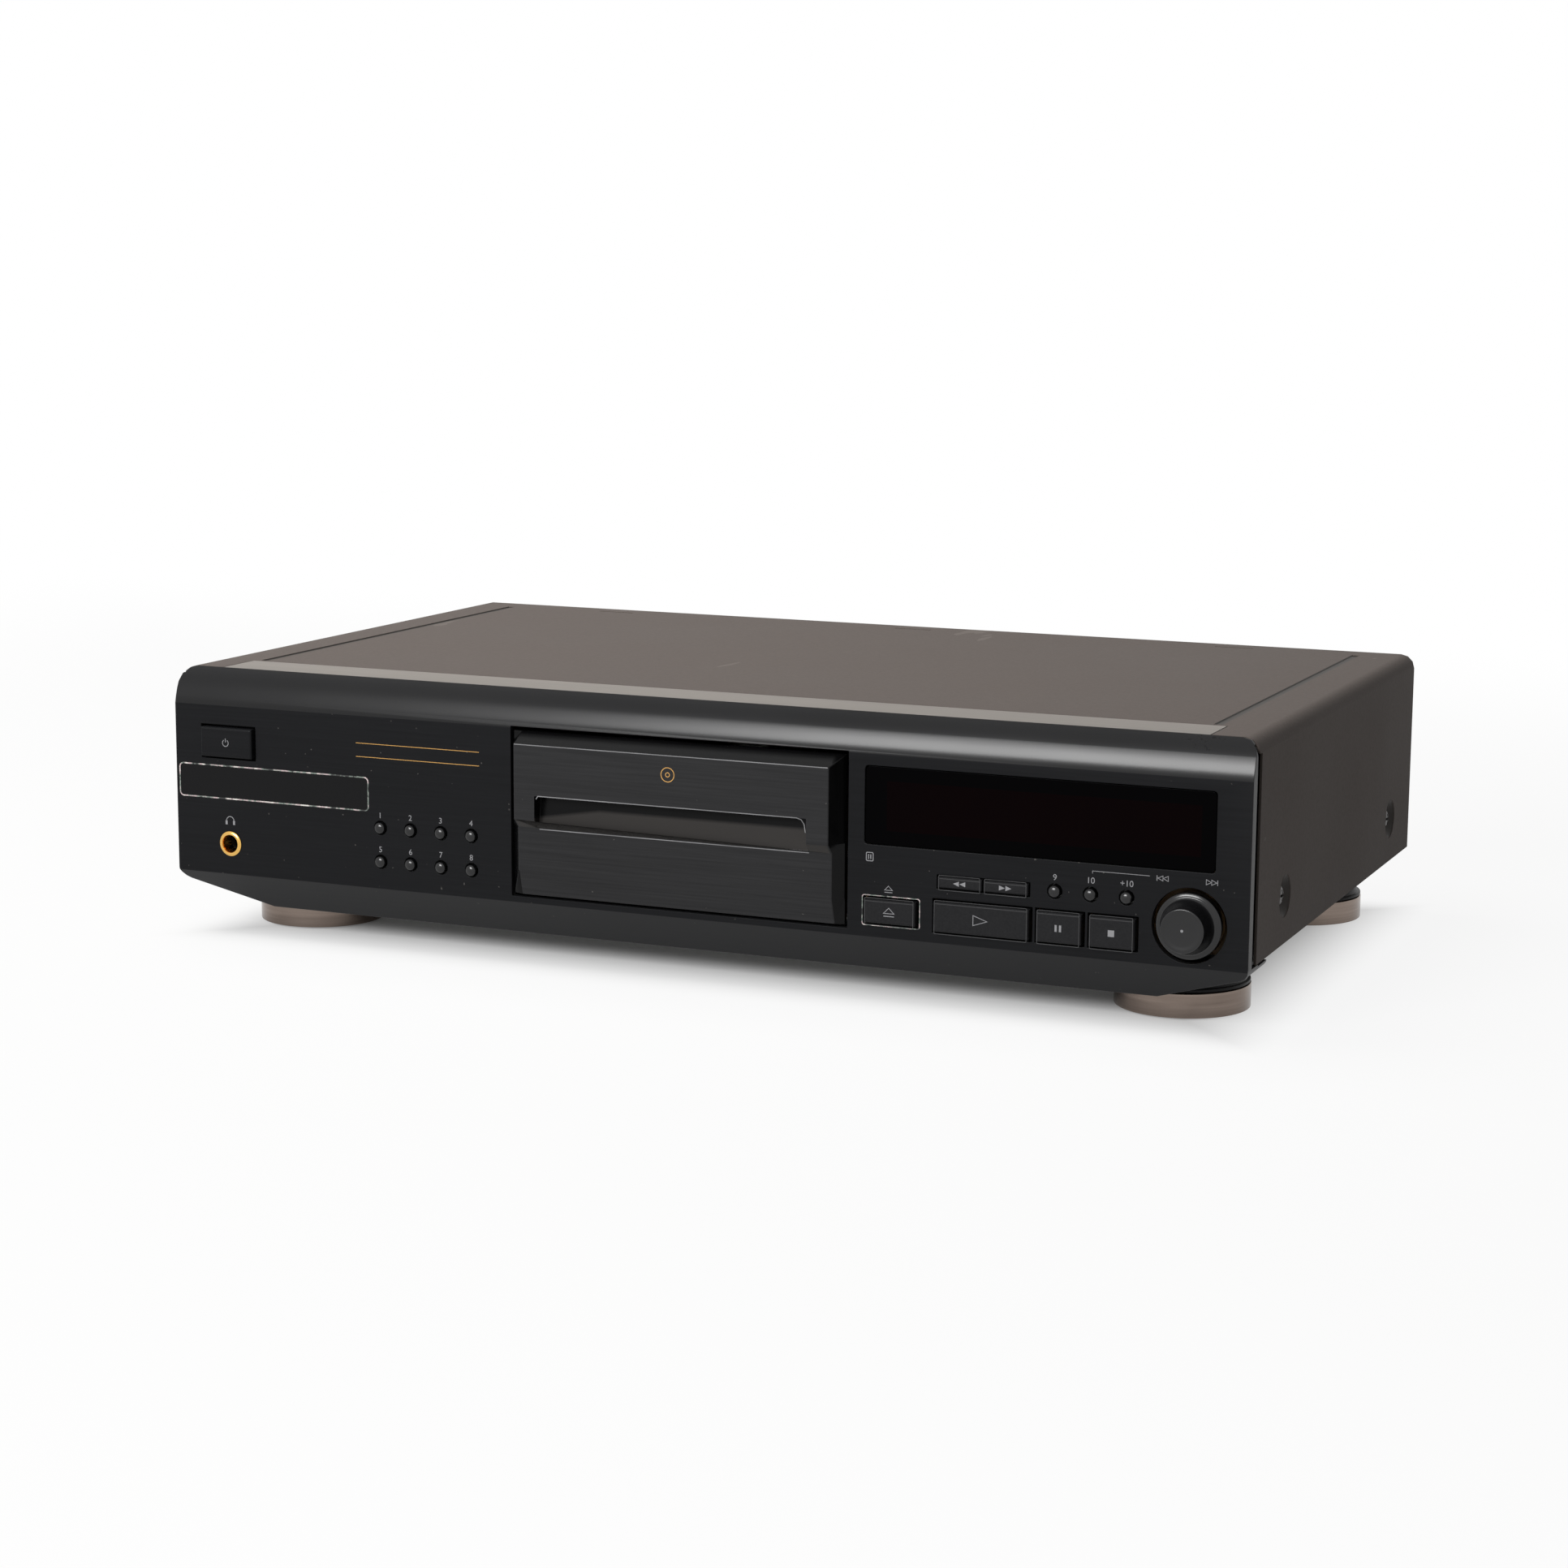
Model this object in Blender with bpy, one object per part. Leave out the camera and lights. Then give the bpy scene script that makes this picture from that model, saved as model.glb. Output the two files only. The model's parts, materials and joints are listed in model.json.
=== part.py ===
"""Full-width disc player: case, front controls, loading tray and disc mechanism.

The origin is on the floor, at the middle of the width and of the whole depth.
X runs to the right as seen from the front, Y runs from the front to the back, Z is up.
Inside the case, depths are counted back from the flat front face,
and heights are counted up from the lower fold of that face.
"""
import math

import bmesh
import bpy
from mathutils import Matrix

# Case
CASE_WIDTH = 0.430
FACE_HEIGHT = 0.066
ROLL_HEIGHT = 0.014
ROLL_DEPTH = 0.0075
ROLL_CONTROL_SHARES = (0.24, 0.68)
CHIN_HEIGHT = 0.0144
CHIN_DEPTH = 0.0126
CHIN_WALL = 0.0028
CHIN_CUT_WIDTH = 0.0355
CHIN_CUT_HEIGHT = 0.0115
LIP_DEPTH = 0.029
LIP_THICKNESS = 0.0018
LIP_END_INSET = 0.0177
PANEL_WALL = 0.003
PANEL_TOP_RADIUS = 0.0060
PANEL_LOW_RADIUS = 0.0050
PANEL_SIDE_DEPTH = 0.0050
PANEL_TONGUE_DEPTH = 0.0140
PANEL_TONGUE_INSET = 0.0018
PANEL_SOLE_DEPTH = 0.0260
PANEL_SOLE_DROP = 0.0024
PANEL_SOLE_GAP = 0.0005
HOLLOW_STEP = 0.0002
CASE_DEPTH = 0.250
SEAM_GAP = 0.0003
RUN_GAP = 0.0004
CUT_OVERRUN = 0.002

# Cover
COVER_SHEET = 0.0010
COVER_BEND = 0.0055
COVER_LOW = 0.0005
COVER_SIDE_START = 0.0104
GROOVE_INSET = 0.0215
GROOVE_WIDTH = 0.0030
GROOVE_DEPTH = 0.0005
GROOVE_END_MARGIN = 0.0120
VENT_SPREAD = 0.142
VENT_LENGTH = 0.016
VENT_WIDTH = 0.0014
VENT_EDGE = 0.0090
DISH_RADIUS = 0.0077
DISH_SEAT_RADIUS = 0.0045
DISH_DEPTH = 0.0028
DISH_OVERLAP = 0.0006
DISH_SINK = 0.0001
COVER_SCREW_HEIGHT = 0.0180
COVER_SCREW_DEPTHS = (0.0478, 0.2146)

# Screw holes
SCREW_HOLE_RADIUS = 0.0019

# Chassis and rear panel
CHASSIS_SHEET = 0.0012
CHASSIS_FRONT = 0.0270
FLANGE_HEIGHT = 0.0280
REAR_FLANGE_HEIGHT = 0.0120
REAR_SHEET = 0.0012
REAR_INSET = 0.0015
REAR_SCREW_HEIGHT = 0.0070
REAR_SCREW_SPREADS = (0.070, 0.170)

# Feet
FOOT_HEIGHT = 0.0250
FOOT_RADIUS = 0.0247
FOOT_SKIRT_HEIGHT = 0.0096
FOOT_SKIRT_LIFT = 0.0006
FOOT_SKIRT_WALL = 0.0034
FOOT_NECK_RADIUS = 0.0232
FOOT_TOP_RADIUS = 0.0204
FOOT_BEAD = 0.0013
FOOT_PAD_THICKNESS = 0.0027
FOOT_PAD_RADIUS = 0.0200
FOOT_INSET = 0.0363
FOOT_DEPTHS = (0.0474, 0.2174)
FOOT_COUNTERBORE = 0.0052
FOOT_COUNTERBORE_TOP = 0.0120
FOOT_SCREW_HOLE = 0.0023

# Tray door and its opening
DOOR_OPENING_HALF = 0.0677
DOOR_OPENING_LOW = 0.0022
DOOR_OPENING_TOP = 0.0664
DOOR_HALF = 0.0628
DOOR_END_HALF = 0.0667
DOOR_END_DEPTH = 0.0006
DOOR_LOW = 0.0033
DOOR_TOP = 0.0650
DOOR_FACE_TOP = 0.0610
DOOR_FACE_OUT = 0.0070
DOOR_STEP_TOP = 0.0330
DOOR_STEP_LOW = 0.0294
DOOR_LOW_OUT = 0.0035
DOOR_TAPER_TOP = 0.0130
DOOR_FOOT_OUT = 0.0004
DOOR_BACK = 0.0025
GRIP_HALF = 0.0543
GRIP_TOP = 0.0420
GRIP_FLOOR_OUT = 0.0016

# Display
WINDOW_LEFT = 0.0740
WINDOW_RIGHT = 0.2026
WINDOW_LOW = 0.0334
WINDOW_TOP = 0.0619
WINDOW_RADIUS = 0.0012
WINDOW_SINK = 0.0004
WINDOW_THICKNESS = 0.0022
DISPLAY_MARGIN = 0.0080
DISPLAY_LIFT = 0.0030

# Front boards
BOARD_THICKNESS = 0.0016
BOARD_DEPTH = 0.0130
BOARD_EDGE = 0.0020
LEFT_BOARD_INSET = 0.0370
LEFT_BOARD_RIGHT = -0.0730
LEFT_BOARD_TOP = 0.0330
RIGHT_BOARD_INSET = 0.0060
RIGHT_BOARD_TOP = 0.0630
BOSS_RADIUS = 0.0028
BOSS_SINK = 0.0005
SWITCH_SIZE = 0.0060
SWITCH_DEPTH = 0.0035
ENCODER_SIZE = 0.0120
ENCODER_DEPTH = 0.0050

# Buttons
BUTTON_GAP = 0.0008
BUTTON_OUT = 0.0020
BUTTON_CHAMFER = 0.0006
BUTTON_TRAVEL = 0.0010
BUTTON_FLANGE = 0.0012
BUTTON_FLANGE_THICKNESS = 0.0012
BUTTON_STEM = 0.0030
KEY_ROW_LOW = 0.0035
KEY_ROW_TOP = 0.0160
PLAY_LEFT = 0.1002
PLAY_RIGHT = 0.1374
PAUSE_LEFT = 0.1384
PAUSE_RIGHT = 0.1566
STOP_LEFT = 0.1576
STOP_RIGHT = 0.1759
EJECT_LEFT = 0.0738
EJECT_RIGHT = 0.0951
EJECT_LOW = 0.0045
EJECT_TOP = 0.0148
SEEK_LEFT = 0.1017
SEEK_RIGHT = 0.1364
SEEK_LOW = 0.0195
SEEK_TOP = 0.0247
SEEK_OUT = 0.0011
SEEK_GAP = 0.0005
POWER_INSET = 0.0117
POWER_WIDTH = 0.0245
POWER_LOW = 0.0452
POWER_TOP = 0.0585
POWER_TRAVEL = 0.0040
POWER_ROD = 0.0050
POWER_ROD_END = 0.0900
ROUND_HOLE_RADIUS = 0.0028
ROUND_BUTTON_RADIUS = 0.0022
ROUND_DOME = 0.0012
DOME_SHARES = ((0.55, 0.22), (0.88, 0.62))
ROUND_OUT = 0.0006
ROUND_FLANGE_RADIUS = 0.0038
ROUND_STEM_RADIUS = 0.0013
LEFT_ROUND_FIRST = -0.1239
LEFT_ROUND_PITCH = 0.01305
LEFT_ROUND_COUNT = 4
LEFT_ROUND_HEIGHTS = (0.0235, 0.0104)
RIGHT_ROUND_FIRST = 0.1454
RIGHT_ROUND_PITCH = 0.0130
RIGHT_ROUND_COUNT = 3
RIGHT_ROUND_HEIGHT = 0.0224

# Jog knob
KNOB_INSET = 0.0211
KNOB_HEIGHT = 0.0145
KNOB_HOLE_RADIUS = 0.0133
KNOB_FLANGE_RADIUS = 0.0117
KNOB_CAP_RADIUS = 0.0077
KNOB_OUT = 0.0095
KNOB_BACK = 0.0040
KNOB_SHAFT_RADIUS = 0.0030
KNOB_FLANK_SHARES = ((0.06, 0.93), (0.16, 0.55), (0.36, 0.30), (0.72, 0.18), (0.94, 0.13), (1.00, 0.07))

# Headphone socket
PHONES_INSET = 0.0241
PHONES_HEIGHT = 0.0120
PHONES_RING_RADIUS = 0.00465
PHONES_BARREL_RADIUS = 0.0042
PHONES_BORE_RADIUS = 0.0032
PHONES_RING_OUT = 0.0008
PHONES_BARREL_END = 0.0056
PHONES_BODY_END = 0.0380
PHONES_BODY_HALF = 0.0075
PHONES_BORE_DEPTH = 0.0260

# Rear sockets and mains switch
LINE_X = 0.1500
LINE_PITCH = 0.0140
LINE_HEIGHT = 0.0350
LINE_RADIUS = 0.0042
LINE_PIN_RADIUS = 0.0016
LINE_OUT = 0.0085
LINE_COLLAR_RADIUS = 0.0050
LINE_COLLAR = 0.0015
LINE_BODY_DEPTH = 0.0120
LINE_BODY_MARGIN = 0.0075
DIGITAL_X = 0.0900
DIGITAL_HEIGHT = 0.0350
DIGITAL_HALF = 0.0065
DIGITAL_HOLE_HALF = 0.0036
DIGITAL_OUT = 0.0020
DIGITAL_BODY_DEPTH = 0.0140
INLET_INSET = 0.0550
INLET_HEIGHT = 0.0250
INLET_HALF_WIDTH = 0.0120
INLET_HALF_HEIGHT = 0.0070
INLET_WALL = 0.0018
INLET_CORNER_SHARE = 0.9
INLET_OUT = 0.0020
INLET_DEPTH = 0.0160
INLET_FLANGE = 0.0020
INLET_PIN_SPREAD = 0.0043
INLET_PIN_RADIUS = 0.0012
SWITCH_BODY_LENGTH = 0.0280
SWITCH_BODY_HALF = 0.0080
SWITCH_LEG_HALF = 0.0030

# Transformer
CORE_INSET = 0.0200
CORE_WIDTH = 0.0600
CORE_HEIGHT = 0.0500
CORE_FRONT = 0.1500
CORE_THICKNESS = 0.0240
CORE_LIMB = 0.0100
CORE_MID_LIMB = 0.0180
COIL_OVERHANG = 0.0110

# Main board
MAIN_LEFT = 0.0780
MAIN_INSET = 0.0110
MAIN_FRONT = 0.0300
MAIN_REAR_GAP = 0.0200
MAIN_HEIGHT = 0.0080
STANDOFF_RADIUS = 0.0030
STANDOFF_INSET = 0.0100
STANDOFF_SHARES = (0.10, 0.90)
CAPACITOR_SHARES = ((0.12, 0.80), (0.12, 0.91), (0.30, 0.86))
SMALL_CAPACITOR_SHARES = ((0.55, 0.84), (0.66, 0.84), (0.77, 0.84), (0.20, 0.12), (0.20, 0.60))
CHIP_SHARES = ((0.40, 0.25), (0.72, 0.25), (0.40, 0.50), (0.72, 0.55))
SINK_SHARES = (0.50, 0.72)
CAPACITOR_RADIUS = 0.0080
CAPACITOR_HEIGHT = 0.0250
CHIP_SIZE = 0.0200
CHIP_HEIGHT = 0.0025
SINK_LENGTH = 0.0450
SINK_HEIGHT = 0.0300
SINK_THICKNESS = 0.0030
SMALL_CAPACITOR_RADIUS = 0.0040
SMALL_CAPACITOR_HEIGHT = 0.0110

# Loader frame
FRAME_HALF = 0.0654
FRAME_WALL = 0.0030
FRAME_FRONT = 0.0180
FRAME_TAIL = 0.0240
FRAME_FLOOR = 0.0060
FRAME_FLOOR_THICKNESS = 0.0020
FRAME_TOP = 0.0490
LEDGE_WIDTH = 0.0020
LEDGE_THICKNESS = 0.0042
FRAME_POST_RADIUS = 0.0040
FRAME_POST_INSET = 0.0120

# Disc tray
TRAY_TOP = 0.0460
TRAY_THICKNESS = 0.0075
TRAY_BACK = 0.1760
TRAY_FRONT_DROP = 0.0100
TRAY_FRONT_WALL = 0.0040
DISC_RADIUS = 0.0610
DISC_POCKET = 0.0040
SMALL_DISC_RADIUS = 0.0410
SMALL_DISC_POCKET = 0.0055
DISC_DEPTH = 0.0800
SLOT_HALF = 0.0180
SLOT_FRONT = 0.0440

# Loading gears, module 1 mm
GEAR_MODULE = 0.0010
TOOTH_TIP_SHARE = 0.75
TOOTH_ROOT_SHARE = 1.05
TOOTH_TOP_SHARE = 0.16
TOOTH_FOOT_SHARE = 0.56
DRIVE_TEETH = 24
HALF_TOOTH_SHARE = 0.5
PINION_TEETH = 12
GEAR_DEPTH = 0.0320
GEAR_THICKNESS = 0.0032
RACK_WIDTH = 0.0028
RACK_EDGE = 0.0600
AXLE_RADIUS = 0.0015
AXLE_SHOULDER_RADIUS = 0.0028
WHEEL_RADIUS = 0.0120
WHEEL_LIFT = 0.0270
WHEEL_THICKNESS = 0.0036
MOTOR_PULLEY_X = 0.0140
MOTOR_PULLEY_RADIUS = 0.0040
MOTOR_RADIUS = 0.0110
MOTOR_SHAFT_RADIUS = 0.0010
PULLEY_RIM = 0.0010
BELT_SIZE = 0.0014

# Tilting base unit
BASE_HALF = 0.0480
BASE_FRONT = 0.0500
BASE_LOW = 0.0170
BASE_THICKNESS = 0.0030
BASE_BAR = 0.0060
BASE_PIVOT_DEPTH = 0.1680
BASE_PIVOT_RADIUS = 0.0020
BASE_PIVOT_HALF = 0.0560
BASE_EAR_OUTER = 0.0545
BASE_EAR_INNER = 0.0505
BASE_EAR_HALF_DEPTH = 0.0050
ROD_SPREAD = 0.0260
ROD_RADIUS = 0.0015
ROD_LIFT = 0.0245
ROD_BLOCK_HALF = 0.0040
ROD_BLOCK_TOP = 0.0280
ROD_BLOCK_DEPTH = 0.0040
ROD_TAIL_GAP = 0.0080

# Pickup, carriage and spindle
PICKUP_HALF = 0.0150
PICKUP_FRONT = 0.0470
PICKUP_BACK = 0.0640
PICKUP_TOP = 0.0375
LENS_RADIUS = 0.0035
LENS_RISE = 0.0035
CARRIAGE_FRONT = 0.0660
CARRIAGE_BACK = 0.1530
CARRIAGE_HALF = 0.0240
CARRIAGE_LOW = 0.0290
CARRIAGE_THICKNESS = 0.0030
RUNNER_LENGTH = 0.0300
RUNNER_LOW = 0.0210
POST_HALF = 0.0135
POST_DEPTH = 0.0120
POST_TOP = 0.0590
ARM_HALF = 0.0094
ARM_LOW = 0.0530
ARM_THICKNESS = 0.0030
ARM_FRONT = 0.0660
ARM_CLEARANCE = 0.0005
ARM_PIVOT_RADIUS = 0.0015
ARM_SLOT_LOW = 0.0450
CARRIAGE_RACK_X = 0.0332
CARRIAGE_RACK_FRONT = 0.0460
CARRIAGE_RACK_BACK = 0.0920
CARRIAGE_PINION_DEPTH = 0.0840
CARRIAGE_MOTOR_RADIUS = 0.0078
SPINDLE_MOTOR_RADIUS = 0.0120
SPINDLE_MOTOR_HEIGHT = 0.0085
SPINDLE_RADIUS = 0.0012
TURNTABLE_RADIUS = 0.0140
TURNTABLE_SEAT = 0.0440
TURNTABLE_THICKNESS = 0.0020
CONE_RADIUS = 0.0074
CONE_HEIGHT = 0.0018
CONE_TOP_SHARE = 0.8
DISC_THICKNESS = 0.0012
PUCK_RADIUS = 0.0150
PUCK_STEM_RADIUS = 0.0030
PUCK_HEAD_RADIUS = 0.0050
PUCK_HEAD_THICKNESS = 0.0010

# Facets of round shapes
DISH = 64
FINE = 32
ROUND = 20
COARSE = 12
CORNER_STEPS = 3
ROLL_STEPS = 6
SMOOTH_ANGLE = math.radians(32)

# Places that follow from the sizes
HALF_WIDTH = CASE_WIDTH / 2
FOOT_SPREAD = HALF_WIDTH - FOOT_INSET
PHONES_X = PHONES_INSET - HALF_WIDTH
POWER_LEFT = POWER_INSET - HALF_WIDTH
POWER_RIGHT = POWER_LEFT + POWER_WIDTH
LEFT_BOARD_LEFT = LEFT_BOARD_INSET - HALF_WIDTH
RIGHT_BOARD_RIGHT = HALF_WIDTH - RIGHT_BOARD_INSET
KNOB_X = HALF_WIDTH - KNOB_INSET
INLET_X = INLET_INSET - HALF_WIDTH
CORE_LEFT = CORE_INSET - HALF_WIDTH
MAIN_RIGHT = HALF_WIDTH - MAIN_INSET
MAIN_BACK = CASE_DEPTH - MAIN_REAR_GAP
FRAME_BACK = BASE_PIVOT_DEPTH + FRAME_TAIL
ROD_BACK = BASE_PIVOT_DEPTH - ROD_TAIL_GAP
CASE_TOP = FACE_HEIGHT + ROLL_HEIGHT
SOCKET_REACH = CASE_DEPTH - REAR_INSET + LINE_OUT
FACE_Y = (KNOB_OUT - SOCKET_REACH) / 2
FOLD_Z = FOOT_HEIGHT
REAR_FACE = CASE_DEPTH - REAR_INSET
CHASSIS_HALF = HALF_WIDTH - DISH_DEPTH - COVER_SHEET - SEAM_GAP
TRAY_HALF = FRAME_HALF - FRAME_WALL - RUN_GAP
TRAY_LOW = TRAY_TOP - TRAY_THICKNESS
BASE_PIVOT_HEIGHT = BASE_LOW + BASE_THICKNESS / 2
DRIVE_RADIUS = GEAR_MODULE * DRIVE_TEETH / 2
PINION_RADIUS = GEAR_MODULE * PINION_TEETH / 2
RACK_PITCH_X = -RACK_EDGE + RACK_WIDTH + GEAR_MODULE * TOOTH_ROOT_SHARE
DRIVE_X = RACK_PITCH_X + DRIVE_RADIUS
PULLEY_X = DRIVE_X + DRIVE_RADIUS + PINION_RADIUS
CARRIAGE_PINION_X = CARRIAGE_RACK_X + PINION_RADIUS


def back(depth):
    return FACE_Y + depth


def up(height):
    return FOLD_Z + height


def clear_scene():
    for item in list(bpy.data.objects):
        bpy.data.objects.remove(item, do_unlink=True)


def material(name, colour, roughness, metallic):
    made = bpy.data.materials.new(name)
    made.use_nodes = True
    shader = made.node_tree.nodes["Principled BSDF"]
    shader.inputs["Base Color"].default_value = (*colour, 1)
    shader.inputs["Roughness"].default_value = roughness
    shader.inputs["Metallic"].default_value = metallic
    return made


def prism(mesh, outline, axis, low, high):
    """Carry a closed outline along one axis. X takes (y, z) points, Y takes (x, z), Z takes (x, y)."""
    place = {
        "x": lambda u, v, along: (along, u, v),
        "y": lambda u, v, along: (u, along, v),
        "z": lambda u, v, along: (u, v, along),
    }[axis]
    first = [mesh.verts.new(place(u, v, low)) for u, v in outline]
    last = [mesh.verts.new(place(u, v, high)) for u, v in outline]
    faces = [mesh.faces.new(first), mesh.faces.new(last)]
    count = len(outline)
    for index in range(count):
        follow = (index + 1) % count
        faces.append(mesh.faces.new((first[index], first[follow], last[follow], last[index])))
    bmesh.ops.recalc_face_normals(mesh, faces=faces)


def flared(mesh, outline, half, end_half, plane):
    """Carry a (y, z) outline between -half and half, then slope its front out to flat ends on the plane."""
    ends = [(max(y, plane), z) for y, z in outline]
    rings = [[mesh.verts.new((x, y, z)) for y, z in points] for x, points in (
        (-end_half, ends), (-half, outline), (half, outline), (end_half, ends))]
    faces = [mesh.faces.new(rings[0]), mesh.faces.new(rings[-1])]
    for ring, further in zip(rings, rings[1:]):
        for index in range(len(ring)):
            follow = (index + 1) % len(ring)
            faces.append(mesh.faces.new((ring[index], ring[follow], further[follow], further[index])))
    bmesh.ops.recalc_face_normals(mesh, faces=faces)


def box(mesh, x_low, x_high, y_low, y_high, z_low, z_high):
    outline = [(x_low, y_low), (x_high, y_low), (x_high, y_high), (x_low, y_high)]
    prism(mesh, outline, "z", z_low, z_high)


def turned(mesh, profile, axis, centre, facets, closed_ring=False):
    """Turn (radius, along) points about an axis through the centre; a ring's profile closes on itself."""
    place = {
        "x": lambda r, s, a: (centre[0] + s, centre[1] + r * math.cos(a), centre[2] + r * math.sin(a)),
        "y": lambda r, s, a: (centre[0] + r * math.cos(a), centre[1] + s, centre[2] + r * math.sin(a)),
        "z": lambda r, s, a: (centre[0] + r * math.cos(a), centre[1] + r * math.sin(a), centre[2] + s),
    }[axis]
    rings = []
    for radius, along in profile:
        if radius == 0:
            rings.append([mesh.verts.new(place(0, along, 0))])
        else:
            angles = [math.tau * (index + 0.5) / facets for index in range(facets)]
            rings.append([mesh.verts.new(place(radius, along, angle)) for angle in angles])
    faces = []
    pairs = list(zip(rings, rings[1:]))
    if closed_ring:
        pairs.append((rings[-1], rings[0]))
    for one, other in pairs:
        for index in range(facets):
            follow = (index + 1) % facets
            corners = [one[index % len(one)], one[follow % len(one)],
                       other[follow % len(other)], other[index % len(other)]]
            faces.append(mesh.faces.new(list(dict.fromkeys(corners))))
    bmesh.ops.recalc_face_normals(mesh, faces=faces)


def rod(mesh, axis, centre, radius, low, high, facets=COARSE):
    turned(mesh, [(0, low), (radius, low), (radius, high), (0, high)], axis, centre, facets)


def tube(mesh, axis, centre, outer, inner, low, high, facets=ROUND):
    turned(mesh, [(inner, low), (outer, low), (outer, high), (inner, high)], axis, centre, facets, True)


def rounded(points, radius, steps=CORNER_STEPS):
    """Round each corner of a closed outline; a radius may be one value or one for each corner."""
    radii = radius if isinstance(radius, (list, tuple)) else [radius] * len(points)
    result = []
    for index, corner in enumerate(points):
        before = points[index - 1]
        after = points[(index + 1) % len(points)]
        if radii[index] == 0:
            result.append(corner)
            continue
        to_before = math.atan2(before[1] - corner[1], before[0] - corner[0])
        to_after = math.atan2(after[1] - corner[1], after[0] - corner[0])
        half = ((to_after - to_before + math.pi) % math.tau - math.pi) / 2
        reach = radii[index] / math.tan(abs(half))
        middle = to_before + half
        hub_reach = math.hypot(reach, radii[index])
        hub = (corner[0] + hub_reach * math.cos(middle), corner[1] + hub_reach * math.sin(middle))
        start = (corner[0] + reach * math.cos(to_before), corner[1] + reach * math.sin(to_before))
        end = (corner[0] + reach * math.cos(to_after), corner[1] + reach * math.sin(to_after))
        angle = math.atan2(start[1] - hub[1], start[0] - hub[0])
        turn = math.atan2(end[1] - hub[1], end[0] - hub[0]) - angle
        turn = (turn + math.pi) % math.tau - math.pi
        for step in range(steps + 1):
            now = angle + turn * step / steps
            result.append((hub[0] + radii[index] * math.cos(now), hub[1] + radii[index] * math.sin(now)))
    return result


def rectangle(u_low, u_high, v_low, v_high):
    return [(u_low, v_low), (u_high, v_low), (u_high, v_high), (u_low, v_high)]


def shown(name, mesh, finish, origin=(0, 0, 0)):
    data = bpy.data.meshes.new(name)
    mesh.to_mesh(data)
    mesh.free()
    data.transform(Matrix.Translation([-value for value in origin]))
    data.materials.append(finish)
    data.shade_smooth()
    data.set_sharp_from_angle(angle=SMOOTH_ANGLE)
    item = bpy.data.objects.new(name, data)
    item.location = origin
    bpy.context.collection.objects.link(item)
    return item


def helper(name, mesh):
    data = bpy.data.meshes.new(name)
    mesh.to_mesh(data)
    mesh.free()
    item = bpy.data.objects.new(name, data)
    item.display_type = "WIRE"
    item.hide_render = True
    bpy.context.collection.objects.link(item)
    return item


def combine(item, mesh, operation):
    other = helper(item.name + "_" + operation.lower(), mesh)
    other.location = item.location
    other.data.transform(Matrix.Translation([-value for value in item.location]))
    step = item.modifiers.new(operation, "BOOLEAN")
    step.operation = operation
    step.object = other
    step.solver = "EXACT"
    step.use_self = operation != "INTERSECT"
    return item


def roll_points(inset, top):
    """The rolled top edge, a quadratic curve from the upper fold to the lip, drawn in by the inset."""
    start = (inset, FACE_HEIGHT - inset * ROLL_CONTROL_SHARES[0])
    end = (ROLL_DEPTH + inset * ROLL_CONTROL_SHARES[1], top)
    control = (start[0] + ROLL_CONTROL_SHARES[0] * (end[0] - start[0]),
               start[1] + ROLL_CONTROL_SHARES[1] * (end[1] - start[1]))
    points = []
    for step in range(ROLL_STEPS + 1):
        t = step / ROLL_STEPS
        points.append(tuple((1 - t) ** 2 * a + 2 * t * (1 - t) * b + t * t * c
                            for a, b, c in zip(start, control, end)))
    return points


def placed(points):
    """Turn (depth, height) pairs into (y, z)."""
    return [(back(depth), up(height)) for depth, height in points]


def boss_places():
    left_low = PANEL_SOLE_DROP + BOSS_RADIUS + BOARD_EDGE
    places = []
    for x in (LEFT_BOARD_LEFT + 2 * BOSS_RADIUS, LEFT_BOARD_RIGHT - 2 * BOSS_RADIUS):
        places.append((x, LEFT_BOARD_TOP - 2 * BOSS_RADIUS))
        places.append((x, left_low))
    for x in (DOOR_OPENING_HALF + 2 * BOSS_RADIUS, RIGHT_BOARD_RIGHT - BOSS_RADIUS):
        places.append((x, RIGHT_BOARD_TOP - BOSS_RADIUS / 2))
    places.append(((PLAY_LEFT + EJECT_RIGHT) / 2, left_low))
    return places


def round_places():
    left = [(LEFT_ROUND_FIRST + LEFT_ROUND_PITCH * column, height)
            for height in LEFT_ROUND_HEIGHTS for column in range(LEFT_ROUND_COUNT)]
    right = [(RIGHT_ROUND_FIRST + RIGHT_ROUND_PITCH * column, RIGHT_ROUND_HEIGHT)
             for column in range(RIGHT_ROUND_COUNT)]
    return left, right


def key_openings():
    return {
        "power": (POWER_LEFT, POWER_RIGHT, POWER_LOW, POWER_TOP),
        "eject": (EJECT_LEFT, EJECT_RIGHT, EJECT_LOW, EJECT_TOP),
        "seek": (SEEK_LEFT, SEEK_RIGHT, SEEK_LOW, SEEK_TOP),
        "play": (PLAY_LEFT, PLAY_RIGHT, KEY_ROW_LOW, KEY_ROW_TOP),
        "pause": (PAUSE_LEFT, PAUSE_RIGHT, KEY_ROW_LOW, KEY_ROW_TOP),
        "stop": (STOP_LEFT, STOP_RIGHT, KEY_ROW_LOW, KEY_ROW_TOP),
    }


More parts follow.
